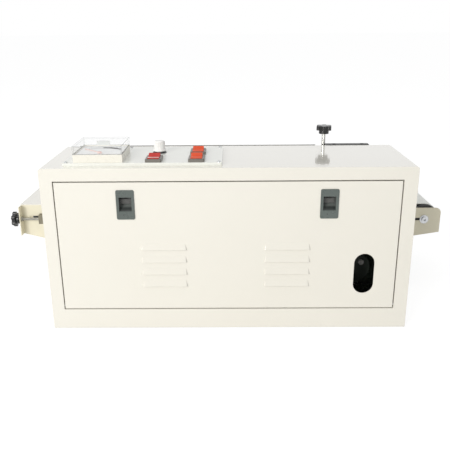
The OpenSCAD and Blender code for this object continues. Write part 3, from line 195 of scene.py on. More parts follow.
def plastic(name, pale, deep, rough=0.42, grain=0.00004):
    """Moulded plastic with a fine cellular grain."""
    t = Tree(name)
    t.rounded(0.4 * MM)
    t.colour(t.mix(t.span(t.noise(14, 4, 0.6), 0.3, 0.7), pale, deep))
    t.put("Roughness", t.span(t.noise(90, 4, 0.6), 0.3, 0.7, rough - 0.06, rough + 0.08))
    t.bump(t.cells(2600), grain)
    return t.done()


def latch_plastic(name, pale, deep, wear_and_painted_light, pocket_painted_shade):
    """Smooth grey moulding; its pocket is painted paler as painted light, and darker as painted
    shade where it ends below.
    """
    t = Tree(name)
    t.rounded(0.0004)
    lo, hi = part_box("latch_bezels")
    face = t.mix(t.span(t.noise(14, 4, 0.6), 0.3, 0.7), pale, deep)
    # Painted light and shade in the pocket: paler above, graded to darker at its lower end
    pocket = t.mix(t.span(t.axis("Z"), hi.z - 0.0365, hi.z - 0.0335), pocket_painted_shade, wear_and_painted_light)
    t.colour(t.mix(t.span(t.axis("Y"), lo.y + 0.001, lo.y + 0.003), face, pocket))
    t.put("Roughness", t.span(t.noise(90, 4, 0.6), 0.3, 0.7, 0.24, 0.38))
    t.bump(t.cells(2600), 0.00004)
    return t.done()


def metal(name, pale, deep, rough, stretch):
    """Turned, drawn or brushed metal with lines along one axis."""
    t = Tree(name)
    t.rounded(0.3 * MM)
    lines = t.noise(26.0, 6, 0.65, vector=t.mapped(stretch))
    t.colour(t.mix(t.span(lines, 0.3, 0.7), pale, deep))
    t.put("Metallic", 1.0)
    t.put("Roughness", t.span(lines, 0.3, 0.7, rough - 0.08, rough + 0.12))
    t.bump(lines, 0.01 * MM)
    return t.done()


def zinc(name):
    """Galvanised sheet: soft spangles, dull patches."""
    t = Tree(name)
    t.rounded(0.0004)
    split = t.nodes.new("ShaderNodeSeparateColor")
    t.link(t.cells(95, output="Color"), split.inputs[0])
    tone = split.outputs[0]
    t.colour(t.mix(tone, (0.62, 0.64, 0.66), (0.47, 0.49, 0.51)))
    t.put("Metallic", 1.0)
    t.put("Roughness", t.span(tone, 0, 1, 0.34, 0.52))
    t.bump(t.noise(300, 4, 0.6), 0.00002)
    return t.done()


def rubber(name):
    t = Tree(name)
    t.rounded(0.0006)
    dust_and_painted_shade = t.span(t.noise(120, 5, 0.7), 0.5, 0.75)
    t.colour(t.mix(dust_and_painted_shade, (0.012, 0.012, 0.012), (0.05, 0.05, 0.048)))
    t.put("Roughness", 0.78)
    t.bump(t.noise(1800, 3), 0.00005)
    return t.done()


def cloth_belt(name):
    """Coated glass cloth: fine square weave under a satin coat, greyer where it is worn."""
    t = Tree(name)
    weave = t.math("MAXIMUM", t.waves(700, "X"), t.waves(700, "Y"))
    wear_and_painted_light = t.span(t.noise(18, 5, 0.65, vector=t.mapped((0.35, 1.6, 1))), 0.35, 0.7)
    base = t.mix(wear_and_painted_light, (0.95, 0.965, 0.91), (0.88, 0.895, 0.84))
    t.colour(t.mix(t.span(weave, 0.2, 1.0, 0.0, 0.25), base, (0.62, 0.63, 0.57)))
    t.put("Roughness", 0.4)
    t.put("Coat Weight", 0.15)
    t.bump(weave, 0.00008)
    return t.done()


def clear_plastic(name):
    """Thin clear moulding: nearly invisible face on, denser towards its edges, whose colour is
    painted shade, dark at the front and grey at the back.
    """
    t = Tree(name)
    lo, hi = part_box("instrument_cover")
    facing = t.nodes.new("ShaderNodeLayerWeight")
    facing.inputs["Blend"].default_value = 0.35
    haze = t.span(facing.outputs["Facing"], 0.4, 1.0, 0.02, 0.2)
    # The rounded normal leaves the true one only near an edge
    soft = t.nodes.new("ShaderNodeBevel")
    soft.samples = BEVEL_SAMPLES
    soft.inputs["Radius"].default_value = 2.4 * MM
    true = t.nodes.new("ShaderNodeNewGeometry")
    alike = t.nodes.new("ShaderNodeVectorMath")
    alike.operation = "DOT_PRODUCT"
    t.link(soft.outputs[0], alike.inputs[0])
    t.link(true.outputs["Normal"], alike.inputs[1])
    edge = t.span(alike.outputs["Value"], 0.8, 0.985, 0.8, 0.0)
    t.put("Alpha", t.math("MAXIMUM", haze, edge))
    # Painted shade on the edges: dark along the front, grading to grey towards the back
    behind = t.span(t.axis("Y"), lo.y + 4 * MM, hi.y - 20 * MM)
    painted_edge_shade = t.mix(behind, (0.035, 0.042, 0.04), (0.36, 0.39, 0.37))
    tint = (0.93, 0.955, 0.95)
    face = t.mix(t.noise(8, 2), tint, tuple(c * 0.98 for c in tint))
    t.colour(t.mix(edge, face, painted_edge_shade))
    t.put("Roughness", t.span(t.noise(40, 5, 0.7), 0.4, 0.75, 0.03, 0.08))
    return t.done()


def red_lens(name, pale, deep):
    """Clear red rocker: glossy, with faint moulding flow."""
    t = Tree(name)
    t.rounded(0.0006)
    t.colour(t.mix(t.span(t.noise(90, 3), 0.3, 0.7), pale, deep))
    t.put("Roughness", t.span(t.noise(200, 4), 0.3, 0.7, 0.3, 0.4))
    t.put("Specular IOR Level", 0.22)
    t.bump(t.noise(700, 2), 0.00002)
    return t.done()


def quartz(name, box):
    """Milky quartz tube whose ends, outside the box it crosses, are ceramic caps."""
    t = Tree(name)
    lo, hi = box
    x = t.axis("X")
    cap = t.math("MAXIMUM", t.math("LESS_THAN", x, lo.x), t.math("GREATER_THAN", x, hi.x))
    coil = t.span(t.waves(160, "X"), 0.55, 0.9)
    tube = t.mix(t.math("MULTIPLY", coil, 0.6), (0.74, 0.71, 0.66), (0.34, 0.27, 0.22))
    t.colour(t.mix(cap, tube, (0.78, 0.75, 0.68)))
    t.put("Roughness", t.span(cap, 0, 1, 0.14, 0.7))
    t.put("Coat Weight", 0.3)
    t.bump(t.noise(500, 3), 0.03 * MM)
    return t.done()


def star_screw(name):
    """Black star knob outside the side plates' lip, threaded bright screw inside it."""
    t = Tree(name)
    t.rounded(0.6 * MM)
    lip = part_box("near_side_plate")[0].x - 1.4 * MM
    knob = t.math("LESS_THAN", t.axis("X"), lip)
    thread = t.waves(1600, "X")
    steel = t.mix(thread, (0.5, 0.49, 0.44), (0.3, 0.29, 0.26))
    t.colour(t.mix(knob, steel, (0.014, 0.014, 0.015)))
    metallic = t.span(knob, 0, 1, 1.0, 0.0)
    t.put("Metallic", metallic)
    t.put("Roughness", t.span(knob, 0, 1, 0.42, 0.2))
    t.bump(t.math("MULTIPLY", thread, metallic), 0.2 * MM)
    return t.done()


def circuit_board(name):
    """Green board under its parts: the colour changes with height above the board's face."""
    t = Tree(name)
    t.rounded(0.3 * MM)
    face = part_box("control_board")[0].z + 9.6 * MM
    height = t.axis("Z")
    part = t.math("GREATER_THAN", height, face + 0.3 * MM)
    tall = t.math("GREATER_THAN", height, face + 11.2 * MM)
    trace = t.span(t.waves(260, "X", 3.0), 0.45, 0.55)
    board = t.mix(t.math("MULTIPLY", trace, 0.5), (0.016, 0.115, 0.05), (0.03, 0.2, 0.085))
    parts = t.mix(tall, (0.05, 0.16, 0.1), (0.02, 0.04, 0.12))
    t.colour(t.mix(part, board, parts))
    t.put("Roughness", t.span(t.noise(200, 3), 0.3, 0.7, 0.3, 0.45))
    t.bump(trace, 0.03 * MM)
    return t.done()


def dial_face(name):
    t = Tree(name)
    t.colour(t.mix(t.span(t.noise(30, 4), 0.3, 0.7), (0.985, 0.99, 0.985), (0.96, 0.965, 0.96)))
    t.put("Roughness", 0.5)
    t.bump(t.noise(2400, 2), FINE_GRAIN)
    return t.done()


def dark_chrome(name, pale, deep, rough):
    t = Tree(name)
    t.rounded(0.0004)
    haze = t.noise(70, 5, 0.6)
    t.colour(t.mix(t.span(haze, 0.3, 0.7), pale, deep))
    t.put("Metallic", 1.0)
    t.put("Roughness", t.span(haze, 0.3, 0.7, rough, rough + 0.08))
    return t.done()


cream = paint("cream_powder_coat", (0.855, 0.83, 0.75), (0.84, 0.812, 0.728), 0.15, 0.85)
beige = paint("conveyor_paint", (0.81, 0.762, 0.6), (0.78, 0.732, 0.565), 0.34, 0.15)
plate_paint = paint("plate_enamel", (0.86, 0.87, 0.82), (0.84, 0.85, 0.8), 0.24)
cream_plastic = plastic("cream_plastic", (0.87, 0.845, 0.765), (0.85, 0.825, 0.745), 0.3,
                        FINE_GRAIN)
zinc_sheet = zinc("zinc_sheet")
steel_y = metal("turned_steel", (0.72, 0.73, 0.74), (0.52, 0.53, 0.55), 0.26, (40, 1, 40))
steel_screws = metal("screw_steel", (0.66, 0.67, 0.68), (0.46, 0.47, 0.49), 0.32, (8, 8, 8))
stainless = metal("stainless_sheet", (0.64, 0.64, 0.63), (0.5, 0.5, 0.5), 0.34, (1.5, 40, 40))
chrome = dark_chrome("spindle_chrome", (0.6, 0.6, 0.58), (0.45, 0.45, 0.43), 0.16)
black_coat = paint("black_coat", (0.02, 0.02, 0.021), (0.014, 0.014, 0.015), 0.38, 0.1)
roller_black = paint("roller_black", (0.016, 0.016, 0.017), (0.03, 0.03, 0.031), 0.42, 0.1)
black_plastic = plastic("black_plastic", (0.02, 0.02, 0.021), (0.028, 0.028, 0.03), 0.46)
bezel_grey = plastic("switch_bezel", (0.2, 0.185, 0.165), (0.17, 0.157, 0.14), 0.34)
knob_black = plastic("knob_black", (0.012, 0.012, 0.013), (0.018, 0.018, 0.019), 0.2)
# The last two colours are the pocket's painted light and painted shade
latch_grey = latch_plastic("latch_grey", (0.112, 0.134, 0.124), (0.095, 0.115, 0.106),
                           (0.15, 0.165, 0.155), (0.03, 0.036, 0.033))
latch_tab = plastic("latch_tab", (0.125, 0.126, 0.12), (0.104, 0.105, 0.1), 0.4)
rubber_black = rubber("rubber_black")
white_plastic = plastic("white_plastic", (0.96, 0.95, 0.93), (0.94, 0.93, 0.91), 0.2, FINE_GRAIN)
needle_red = plastic("needle_enamel", (0.88, 0.68, 0.63), (0.84, 0.63, 0.58), 0.4, FINE_GRAIN)
clear = clear_plastic("clear_cover")
red = red_lens("red_lens", (0.62, 0.032, 0.02), (0.5, 0.022, 0.014))
orange_red = red_lens("orange_red_lens", (0.8, 0.085, 0.014), (0.74, 0.068, 0.012))
motor_black = paint("motor_enamel", (0.064, 0.078, 0.064), (0.05, 0.062, 0.05), 0.5, 0.0)
alloy = metal("machined_alloy", (0.74, 0.75, 0.76), (0.6, 0.61, 0.62), 0.34, (2, 30, 2))
block_metal = metal("takeup_block_metal", (0.26, 0.24, 0.18), (0.2, 0.185, 0.14), 0.6, (2, 30, 2))
belt_cloth = cloth_belt("belt_cloth")
low_quartz = quartz("lower_quartz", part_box("heater_tray"))
head_quartz = quartz("head_quartz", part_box("reflow_head"))
fan_grey = plastic("fan_grey", (0.045, 0.047, 0.05), (0.06, 0.062, 0.065), 0.5)

FINISH = {
    cream: "cabinet_shell rear_panel front_door preheat_hood infeed_table",
    beige: "near_side_plate far_side_plate rear_legs",
    plate_paint: "control_plate",
    cream_plastic: "instrument_case",
    zinc_sheet: "base_plate belt_bed heater_tray lift_frame idler_roller",
    steel_y: "tie_rods drive_axle cross_shaft idler_axle",
    steel_screws: "panel_screws door_pivot_pins axle_screws hood_hinge_pins potentiometer",
    stainless: "heat_shield reflow_head",
    chrome: "lift_spindle",
    black_coat: "lift_carriage",
    roller_black: "drive_roller",
    black_plastic: "solid_state_relays fan_frame power_inlet",
    latch_tab: "left_latch_bolt right_latch_bolt",
    needle_red: "instrument_needle",
    bezel_grey: "power_switch_body heater_switch_body belt_switch_body",
    knob_black: "lift_knob",
    latch_grey: "latch_bezels",
    fan_grey: "fan_rotor",
    rubber_black: "rubber_feet drive_belt",
    white_plastic: "speed_knob terminal_block drive_belt_shoe",
    clear: "instrument_cover",
    red: "power_rocker",
    orange_red: "heater_rocker belt_rocker",
    motor_black: "gear_motor",
    alloy: "heat_sink",
    block_metal: "takeup_blocks",
    belt_cloth: "conveyor_belt",
    low_quartz: "lower_heaters",
    head_quartz: "head_heaters",
    star_screw("star_screw"): "takeup_screw_near takeup_screw_far",
    circuit_board("circuit_board"): "control_board",
    dial_face("dial_face"): "instrument_dial",
}
for material, names in FINISH.items():
    for name in names.split():
        slots = NODES[name].data.materials
        slots.clear()
        slots.append(material)
unfinished = [n for n in NODES if n not in " ".join(FINISH.values()).split()]
assert not unfinished, unfinished


# ---------------------------------------------------------------- small pieces

SHELL_LO, SHELL_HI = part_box("cabinet_shell")
SHELL_CORNER = Vector((SHELL_LO.x, SHELL_LO.y, 0))
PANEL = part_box("control_plate")[1].z


def piece(name, mesh, material, body):
    mesh.materials.append(material)
    obj = bpy.data.objects.new(name, mesh)
    bpy.context.scene.collection.objects.link(obj)
    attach(obj, body)


def finished(bm, name, smooth=False):
    mesh = bpy.data.meshes.new(name)
    bmesh.ops.recalc_face_normals(bm, faces=bm.faces[:])
    for face in bm.faces:
        face.smooth = smooth
    bm.to_mesh(mesh)
    bm.free()
    return mesh


def plates(name, boxes, chamfer):
    """One mesh of boxes given as (low, high), with softened edges."""
    bm = bmesh.new()
    for lo, hi in boxes:
        made = bmesh.ops.create_cube(bm, size=1.0)
        lo, hi = Vector(lo), Vector(hi)
        bmesh.ops.scale(bm, vec=hi - lo, verts=made["verts"])
        bmesh.ops.translate(bm, vec=(hi + lo) / 2, verts=made["verts"])
    bmesh.ops.bevel(bm, geom=bm.edges[:], offset=chamfer, segments=2, affect="EDGES")
    return finished(bm, name)


def dial_marks():
    """Thin scale arc with ticks, and a broad dark band along its upper half."""
    lo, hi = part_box("instrument_dial")
    centre = Vector(((lo.x + hi.x) / 2, lo.y + 19.5 * MM, hi.z))
    half_sweep, arc_steps, tick_count, ticks_per_number = 45, 60, 40, 5
    arc_in, arc_out, short_tip, long_tip = 45.5 * MM, 46.1 * MM, 48.5 * MM, 50.5 * MM
    band_in, band_out, band_tip, band_from, tip_from = 46.6 * MM, 54.8 * MM, 52.5 * MM, -3, 30
    short_half, long_half = 0.22, 0.4
    bm = bmesh.new()

    def polar(r, degrees):
        a = math.radians(degrees)
        return centre + Vector((r * math.sin(a), r * math.cos(a), 0.12 * MM))

    def patch(r0, r1, a0, a1):
        corners = (polar(r0, a1), polar(r0, a0), polar(r1, a0), polar(r1, a1))
        bm.faces.new([bm.verts.new(p) for p in corners])

    step = 2 * half_sweep / arc_steps
    for i in range(arc_steps):
        a = -half_sweep + step * i
        patch(arc_in, arc_out, a, a + step)
        if a >= band_from:
            patch(band_in, band_out if a < tip_from else band_tip, a, a + step)
    for i in range(tick_count + 1):
        a = -half_sweep + 2 * half_sweep / tick_count * i
        tip, half = (short_tip, short_half) if i % ticks_per_number else (long_tip, long_half)
        patch(arc_out, tip, a - half, a + half)
    return finished(bm, "dial_marks")


piece("dial_marks", dial_marks(), black_plastic, "cabinet")


def P(x, y, z):
    """A point given in millimetres from the cabinet's front left corner on the bench."""
    return SHELL_CORNER + Vector((x, y, z)) * MM


def eased(points):
    """Smooth curve through the points."""
    steps = 5
    pts = [Vector(p) for p in points]
    pts = [pts[0] * 2 - pts[1]] + pts + [pts[-1] * 2 - pts[-2]]
    out = []
    for a, b, c, d in zip(pts, pts[1:], pts[2:], pts[3:]):
        for i in range(steps):
            t = i / steps
            out.append(0.5 * (2 * b + (c - a) * t + (2 * a - 5 * b + 4 * c - d) * t * t
                              + (3 * b - a - 3 * c + d) * t ** 3))
    return out + [pts[-2]]


def skin(bm, rings, sides):
    """Faces between rings of points, and a flat end on the first and last."""
    for r0, r1 in zip(rings, rings[1:]):
        for k in range(sides):
            bm.faces.new((r0[k], r0[(k + 1) % sides], r1[(k + 1) % sides], r1[k]))
    bm.faces.new(rings[0][::-1])
    bm.faces.new(rings[-1])


def around(centre, radius, side, other, sides):
    """Points of a circle spanned by two unit vectors."""
    turns = (math.tau * k / sides for k in range(sides))
    return [centre + radius * (side * math.cos(a) + other * math.sin(a)) for a in turns]


def sweep(bm, points, radius):
    """Round tube along a curve, closed at both ends."""
    sides = 8
    curve = eased(points)
    side = Vector((0.31, 0.87, 0.38))
    rings = []
    for i, p in enumerate(curve):
        ahead = (curve[min(i + 1, len(curve) - 1)] - curve[max(i - 1, 0)]).normalized()
        side = (side - ahead * side.dot(ahead)).normalized()
        circle = around(p, radius, side, ahead.cross(side), sides)
        rings.append([bm.verts.new(q) for q in circle])
    skin(bm, rings, sides)


def lathe(bm, centre, axis, profile, sides):
    """Turned shape: profile pairs are (radius, distance along the axis) in millimetres."""
    axis = Vector(axis)
    side = axis.orthogonal().normalized()
    other = axis.cross(side)
    rings = []
    for r, h in profile:
        circle = around(centre + axis * (h * MM), r * MM, side, other, sides)
        rings.append([bm.verts.new(q) for q in circle])
    skin(bm, rings, sides)


def slotted_head(bm, centre, axis, r, h):
    """Low domed screw head with a recess in its top."""
    lathe(bm, centre, axis, [(r, 0), (r, h * 0.5), (r * 0.86, h * 0.85), (r * 0.5, h),
                             (r * 0.34, h), (r * 0.3, h * 0.45), (r * 0.1, h * 0.45)], 28)


def cover_label():
    """Pale rating label on the inner face of the instrument cover's back wall."""
    lo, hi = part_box("instrument_cover")
    left, below, wall = 26.8 * MM, 18.2 * MM, 2.05 * MM
    wide, tall, thick = 26 * MM, 11.4 * MM, 0.3 * MM
    margin, first, pitch, line, relief = 2 * MM, 1.6 * MM, 2.4 * MM, 0.9 * MM, 0.42 * MM
    x, y, z = lo.x + left, hi.y - wall, hi.z - below
    boxes = [((x, y - thick, z), (x + wide, y, z + tall))]
    for k in range(4):
        z0 = z + first + pitch * k
        boxes.append(((x + margin, y - relief, z0), (x + wide - margin, y - thick, z0 + line)))
    return plates("cover_label", boxes, 0.03 * MM)


def knob_dark_ring():
    """Thin black ring between the speed knob and the plate."""
    bm = bmesh.new()
    lo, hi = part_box("speed_knob")
    centre = Vector(((lo.x + hi.x) / 2, (lo.y + hi.y) / 2, PANEL))
    painted_edge_shade, bore, thick = 13.8, 4.9, 1.2
    lathe(bm, centre, (0, 0, 1), [(painted_edge_shade - 0.2, 0), (painted_edge_shade, 0.5), (painted_edge_shade - 0.4, thick), (bore, thick),
                                  (bore, 0.02)], 48)
    return finished(bm, "knob_dark_ring")


def lens_highlight_bars(node):
    """Painted highlight: pale bars across the front of a rocker's lens, laid on its tilted face.
    """
    lo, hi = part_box(node)
    bm = bmesh.new()
    pivot_up, tilt, half_lens = 3.5, 8, 14.0
    low_rise, full_rise, clear, thick = 3.2, 2.8, 0.09, 0.12
    front, back, half_width, half_split = -13.4, -5.2, 10.2, 0.15
    pivot = Vector(((lo.x + hi.x) / 2, (lo.y + hi.y) / 2, PANEL + pivot_up * MM))
    turn = Matrix.Rotation(math.radians(tilt), 3, "X")
    up = turn @ Vector((0, 0, thick * MM))
    for x0, x1 in ((-half_width, -half_split), (half_split, half_width)):
        corners = []
        for x, y in ((x0, front), (x1, front), (x1, back), (x0, back)):
            rise = low_rise + full_rise * min(1.0, -y / half_lens) + clear
            corners.append(pivot + turn @ (Vector((x, y, rise)) * MM))
        rings = [[bm.verts.new(c) for c in corners], [bm.verts.new(c + up) for c in corners]]
        skin(bm, rings, len(corners))
    return finished(bm, "lens_highlight_bars_" + node)


def latch_rivets():
    """Small recessed screw below each finger pocket."""
    lo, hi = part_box("latch_bezels")
    from_left, from_right, down = 13.4 * MM, 20.6 * MM, 48 * MM
    bm = bmesh.new()
    for x in (lo.x + from_left, hi.x - from_right):
        lathe(bm, Vector((x, lo.y, hi.z - down)), (0, -1, 0),
              [(0.95, -0.2), (0.95, 0.12), (0.6, 0.16), (0.4, 0.02)], 16)
    return finished(bm, "latch_rivets")


def motor_bolts():
    """Washered bolts in the motor's end."""
    lo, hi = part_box("gear_motor")
    out, rise, axis_z, sides = 15.5 * MM, 13 * MM, 96 * MM, 36
    seat, face = -3, 0.6
    washer = [(5.8, seat - 0.9), (6.1, seat - 0.2), (5.8, seat)]
    head = [(5.62, seat), (5.62, 0.2), (5.0, face), (3.1, face), (2.6, 0.1)]
    bm = bmesh.new()
    for s in (-1, 1):
        centre = Vector(((lo.x + hi.x) / 2 + s * out, lo.y, axis_z + s * rise))
        lathe(bm, centre, (0, -1, 0), washer, 32)
        lathe(bm, centre, (0, -1, 0), head, sides)
    return finished(bm, "motor_bolts")


def screw_heads(name, places, axis, r, h):
    bm = bmesh.new()
    for p in places:
        slotted_head(bm, P(*p), axis, r, h)
    return finished(bm, name, True)


def ties(places, r):
    """Cable ties round a loom, each a flat band with its lock."""
    thick, wide = 0.9, 2.6
    band = [(r, 0), (r + thick, 0), (r + thick, wide), (r, wide)]
    lock = [(1.6, 0), (1.8, 1), (1.4, 2.4)]
    bm = bmesh.new()
    for x, y, z in places:
        lathe(bm, P(x, y, z), (0, 0, 1), band, 24)
        lathe(bm, P(x, y + r + 1.2, z + 0.3), (0, 1, 0), lock, 10)
    return finished(bm, "cable_ties")


def board_parts():
    """Chips and small parts on the free strip of the control board."""
    left, front, face, across, along = 124, 106.5, 13.65, 7.6, 6.4
    footprints, heights = ((3.2, 1.6), (2.0, 1.2), (5.0, 4.0)), (0.7, 1.1, 1.6)
    boxes = []
    for row in range(3):
        for col in range(9):
            if random.random() < 0.2:
                continue
            w, d = random.choice(footprints)
            x, y = left + col * across, front + row * along
            boxes.append((P(x, y, face), P(x + w, y + d, face + random.choice(heights))))
    return plates("board_parts", boxes, 0.1 * MM)


def hood_grip():
    """Ribbed sleeve on the middle of the hood's handle."""
    lo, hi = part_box("preheat_hood")
    bore, end, rib, groove, pitch, half = 4.05, 5.6, 6.0, 5.5, 4.133, 66
    centre = Vector(((lo.x + hi.x) / 2, lo.y + 20 * MM, hi.z - 4 * MM))
    profile = [(bore, -half), (end, 1 - half)]
    for k in range(31):
        at = 4 - half + k * pitch
        profile += [(rib, at), (rib, at + 2.2), (groove, at + 2.7), (groove, at + 3.6)]
    profile += [(end, half + 0.5), (bore, half + 1.5)]
    bm = bmesh.new()
    lathe(bm, centre, (1, 0, 0), profile, 24)
    return finished(bm, "hood_grip")


label_paper = plastic("label_paper", (0.8, 0.82, 0.8), (0.75, 0.77, 0.75), 0.55, FINE_GRAIN)
# Pale pink of the painted highlight bars on the power rocker's lens
lens_highlight_pale = plastic("lens_highlight_pale", (0.97, 0.78, 0.72), (0.93, 0.7, 0.64), 0.25, FINE_GRAIN)
bolt_grey = plastic("bolt_grey", (0.86, 0.84, 0.8), (0.72, 0.7, 0.67), 0.4, 0.00002)
wire_black = plastic("wire_black", (0.012, 0.012, 0.013), (0.02, 0.02, 0.021), 0.4, FINE_GRAIN)
wire_red = plastic("wire_red", (0.42, 0.02, 0.015), (0.36, 0.018, 0.014), 0.38, FINE_GRAIN)
wire_blue = plastic("wire_blue", (0.02, 0.07, 0.34), (0.018, 0.06, 0.28), 0.38, FINE_GRAIN)
wire_yellow = plastic("wire_yellow", (0.66, 0.5, 0.05), (0.58, 0.44, 0.05), 0.38, FINE_GRAIN)
# Dark colour of the sheets put in the cabinet as painted shade
shade_lining_black = plastic("shade_lining_black", (0.18, 0.215, 0.18), (0.14, 0.165, 0.14), 0.7, 0.00008)
tie_white = plastic("tie_white", (0.7, 0.7, 0.66), (0.64, 0.64, 0.6), 0.45, FINE_GRAIN)

piece("cover_label", cover_label(), label_paper, "cabinet")
piece("knob_dark_ring", knob_dark_ring(), black_plastic, "cabinet")
# Painted highlight along the power rocker's front edge
piece("lens_highlight_bars_power", lens_highlight_bars("power_rocker"), lens_highlight_pale, "power_switch")
piece("latch_rivets", latch_rivets(), wire_black, "door")
piece("motor_bolts", motor_bolts(), bolt_grey, "cabinet")
piece("hood_grip", hood_grip(), rubber_black, "hood")
piece("board_parts", board_parts(), black_plastic, "cabinet")

# The terminal strip's clamps, in millimetres along X, and the way from the trunk to each
STRIP_LEFT, STRIP_LEN, CLAMPS = 251, 148, 12
TERMINALS = [STRIP_LEFT + STRIP_LEN / CLAMPS * (i + 0.5) for i in range(CLAMPS)]
FAN_OUT = [[(x - 1.5, 44, 44), (x, 37, 27), (x, 35.5, 19)] for x in TERMINALS]
TRUNK = [(262, 150, 268), (264, 174, 235), (264, 176, 150), (262, 174, 90), (250, 168, 52),
         (242, 140, 46), (241, 90, 44), (243, 60, 46)]

HEADS = {
    "terminal_screws": ([(x, 33, 16) for x in TERMINALS], (0, 0, 1), 3.2, 3.0),
    "board_screws": ([(x, y, 13.6) for x in (75, 195) for y in (65, 145)], (0, 0, 1), 2.9, 2.0),
    "relay_screws": ([(386, y, z) for y in (91, 137) for z in (12, 54)], (1, 0, 0), 3.6, 2.2),
}
for name, (places, axis, r, h) in HEADS.items():
    piece(name, screw_heads(name, places, axis, r, h), steel_screws, "cabinet")


def wires(name, runs, material, radius):
    """Round wires in the cabinet, each along its own points in millimetres."""
    bm = bmesh.new()
    for run in runs:
        sweep(bm, [P(*p) for p in run], radius * MM)
    piece(name, finished(bm, name, True), material, "cabinet")


def trunk_run(start, cell, terminal):
    """From its own start through its cell of the trunk to its terminal."""
    dx, dy = cell
    return start + [(x + dx, y + dy, z + 0.5 * dx) for x, y, z in TRUNK] + FAN_OUT[terminal]


TRUNK_RADIUS = 1.05
wires("power_wires", [
    trunk_run([(210, 28.5, 300), (214, 34, 288), (236, 90, 278)], (-2.4, 0), 0),
    trunk_run([(210, 41.5, 300), (215, 50, 286), (236, 94, 276)], (0, 0), 1),
], wire_red, TRUNK_RADIUS)
wires("heater_wires", [
    trunk_run([(290.5, 28.5, 300), (288, 34, 288), (274, 90, 280)], (2.4, 0), 3),
    trunk_run([(290.5, 41.5, 300), (287, 50, 286), (273, 96, 278)], (-1.2, 2.2), 4),
], wire_black, TRUNK_RADIUS)
wires("belt_wires", [
    trunk_run([(290.5, 92.5, 300), (287, 98, 288), (274, 116, 280)], (1.2, 2.2), 6),
    trunk_run([(290.5, 105.5, 300), (286, 110, 286), (273, 124, 278)], (1.2, -2.2), 7),
], wire_blue, TRUNK_RADIUS)
wires("instrument_wires", [
    trunk_run([(96, 68, 276.5), (98, 72, 271.5), (170, 112, 272), (236, 142, 273)],
              (-1.2, -2.2), 9),
    trunk_run([(118, 68, 276.5), (120, 72, 274), (180, 108, 275), (238, 140, 275)],
              (-3.4, 2.2), 10),
], wire_yellow, TRUNK_RADIUS)
piece("cable_ties", ties([(264, 176, 205), (264, 176, 165), (263.4, 175.4, 120)], 4.6), tie_white,
      "cabinet")


def shutter(name, reach_left, reach_right, bore):
    """Thin plates that close the take-up slots from inside, one on each side plate.

    Reaches are millimetres from the axle; a bore of 0 leaves the plate whole.
    """
    half, off, thick, sides = 6.5, 0.3 * MM, 0.6 * MM, 64
    lo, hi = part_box("idler_axle")
    near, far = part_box("near_side_plate")[1].y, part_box("far_side_plate")[0].y
    x, z = (lo.x + hi.x) / 2, (lo.z + hi.z) / 2
    if bore:
        turns = [math.tau * (k + 0.5) / sides for k in range(sides)]
        inner = [(bore * math.cos(a), bore * math.sin(a)) for a in turns]
        outer = []
        for c, d in ((math.cos(a), math.sin(a)) for a in turns):
            r = min((reach_right if c > 0 else -reach_left) / abs(c), half / abs(d))
            outer.append((r * c, r * d))
    else:
        outer = [(reach_left, -half), (reach_right, -half), (reach_right, half),
                 (reach_left, half)]
    bm = bmesh.new()
    for y0 in (near + off, far - off - thick):

        def ring(points, y):
            return [bm.verts.new((x + a * MM, y, z + b * MM)) for a, b in points]

        low, high = ring(outer, y0), ring(outer, y0 + thick)
        if bore:
            low_bore, high_bore = ring(inner, y0), ring(inner, y0 + thick)
            bands = ((low_bore, low), (low, high), (high, high_bore), (high_bore, low_bore))
        else:
            bm.faces.new(low)
            bm.faces.new(high)
            bands = ((low, high),)
        for r0, r1 in bands:
            for k in range(len(r0)):
                nxt = (k + 1) % len(r0)
                bm.faces.new((r0[k], r0[nxt], r1[nxt], r1[k]))
    return finished(bm, name)


def motor_shade_lining():
    """Black ribbed mat under the motor, and black sheets on the walls behind and beside it:
    painted shade that darkens the cabinet's inside.
    """
    floor, back, top = 4.1, 203.2, 240
    boxes = [(P(552, 60, floor), P(690, 198, 5.6))]
    boxes += [(P(554 + 9 * k, 62, 5.5), P(558 + 9 * k, 196, 6.4)) for k in range(15)]
    # The sheets leave the drive belt's and the shaft's way free
    boxes += [(P(648, 199, 7), P(694, back, top)), (P(572, 199, 7), P(646, back, 54)),
              (P(572, 199, 160), P(646, back, top))]
    boxes += [(P(649, 198.2, 12 + 12 * k), P(693, 199.1, 20 + 12 * k)) for k in range(18)]
    boxes += [(P(695.6, 20, 8), P(698.3, 198, top))]
    return plates("motor_shade_lining", boxes, 0.1 * MM)


# The black shutters put painted shade in the take-up slots round the axle
piece("slot_shade_shutters", shutter("slot_shade_shutters", -24, 17, 4.15), black_plastic, "takeup")
piece("slot_covers", shutter("slot_covers", -34, -24.4, 0), beige, "cabinet")
# Dark sheets round the motor, put in as painted shade
piece("motor_shade_lining", motor_shade_lining(), shade_lining_black, "cabinet")


def board_run(i):
    """From the control board's edge round to every second clamp."""
    return [(127.5 + 14 * i, 137, 24.3), (128 + 14 * i, 138, 33), (140 + 12 * i, 151 + i, 40 + i),
            (206 + 4 * i, 154 - i, 36 + i), (236 - i, 128, 34 + 1.5 * i),
            (236 - i, 80, 34 + 1.5 * i), (246, 56, 38 + 2 * i)] + FAN_OUT[2 * i + 2]


def motor_run(i):
    """From the motor down to the base plate and along it to the strip."""
    x = 396 - 12.3 * (i + 2)
    return [(577.5, 128 + 5 * i, 93 + 2 * i), (570, 128 + 5 * i, 88), (560, 122 + 4 * i, 40),
            (548, 116 + 4 * i, 9), (500, 80 + 4 * i, 8), (430, 60 + 4 * i, 8),
            (404, 46 + 3 * i, 12), (x, 44, 27), (x - 2.5, 35.5, 19)]


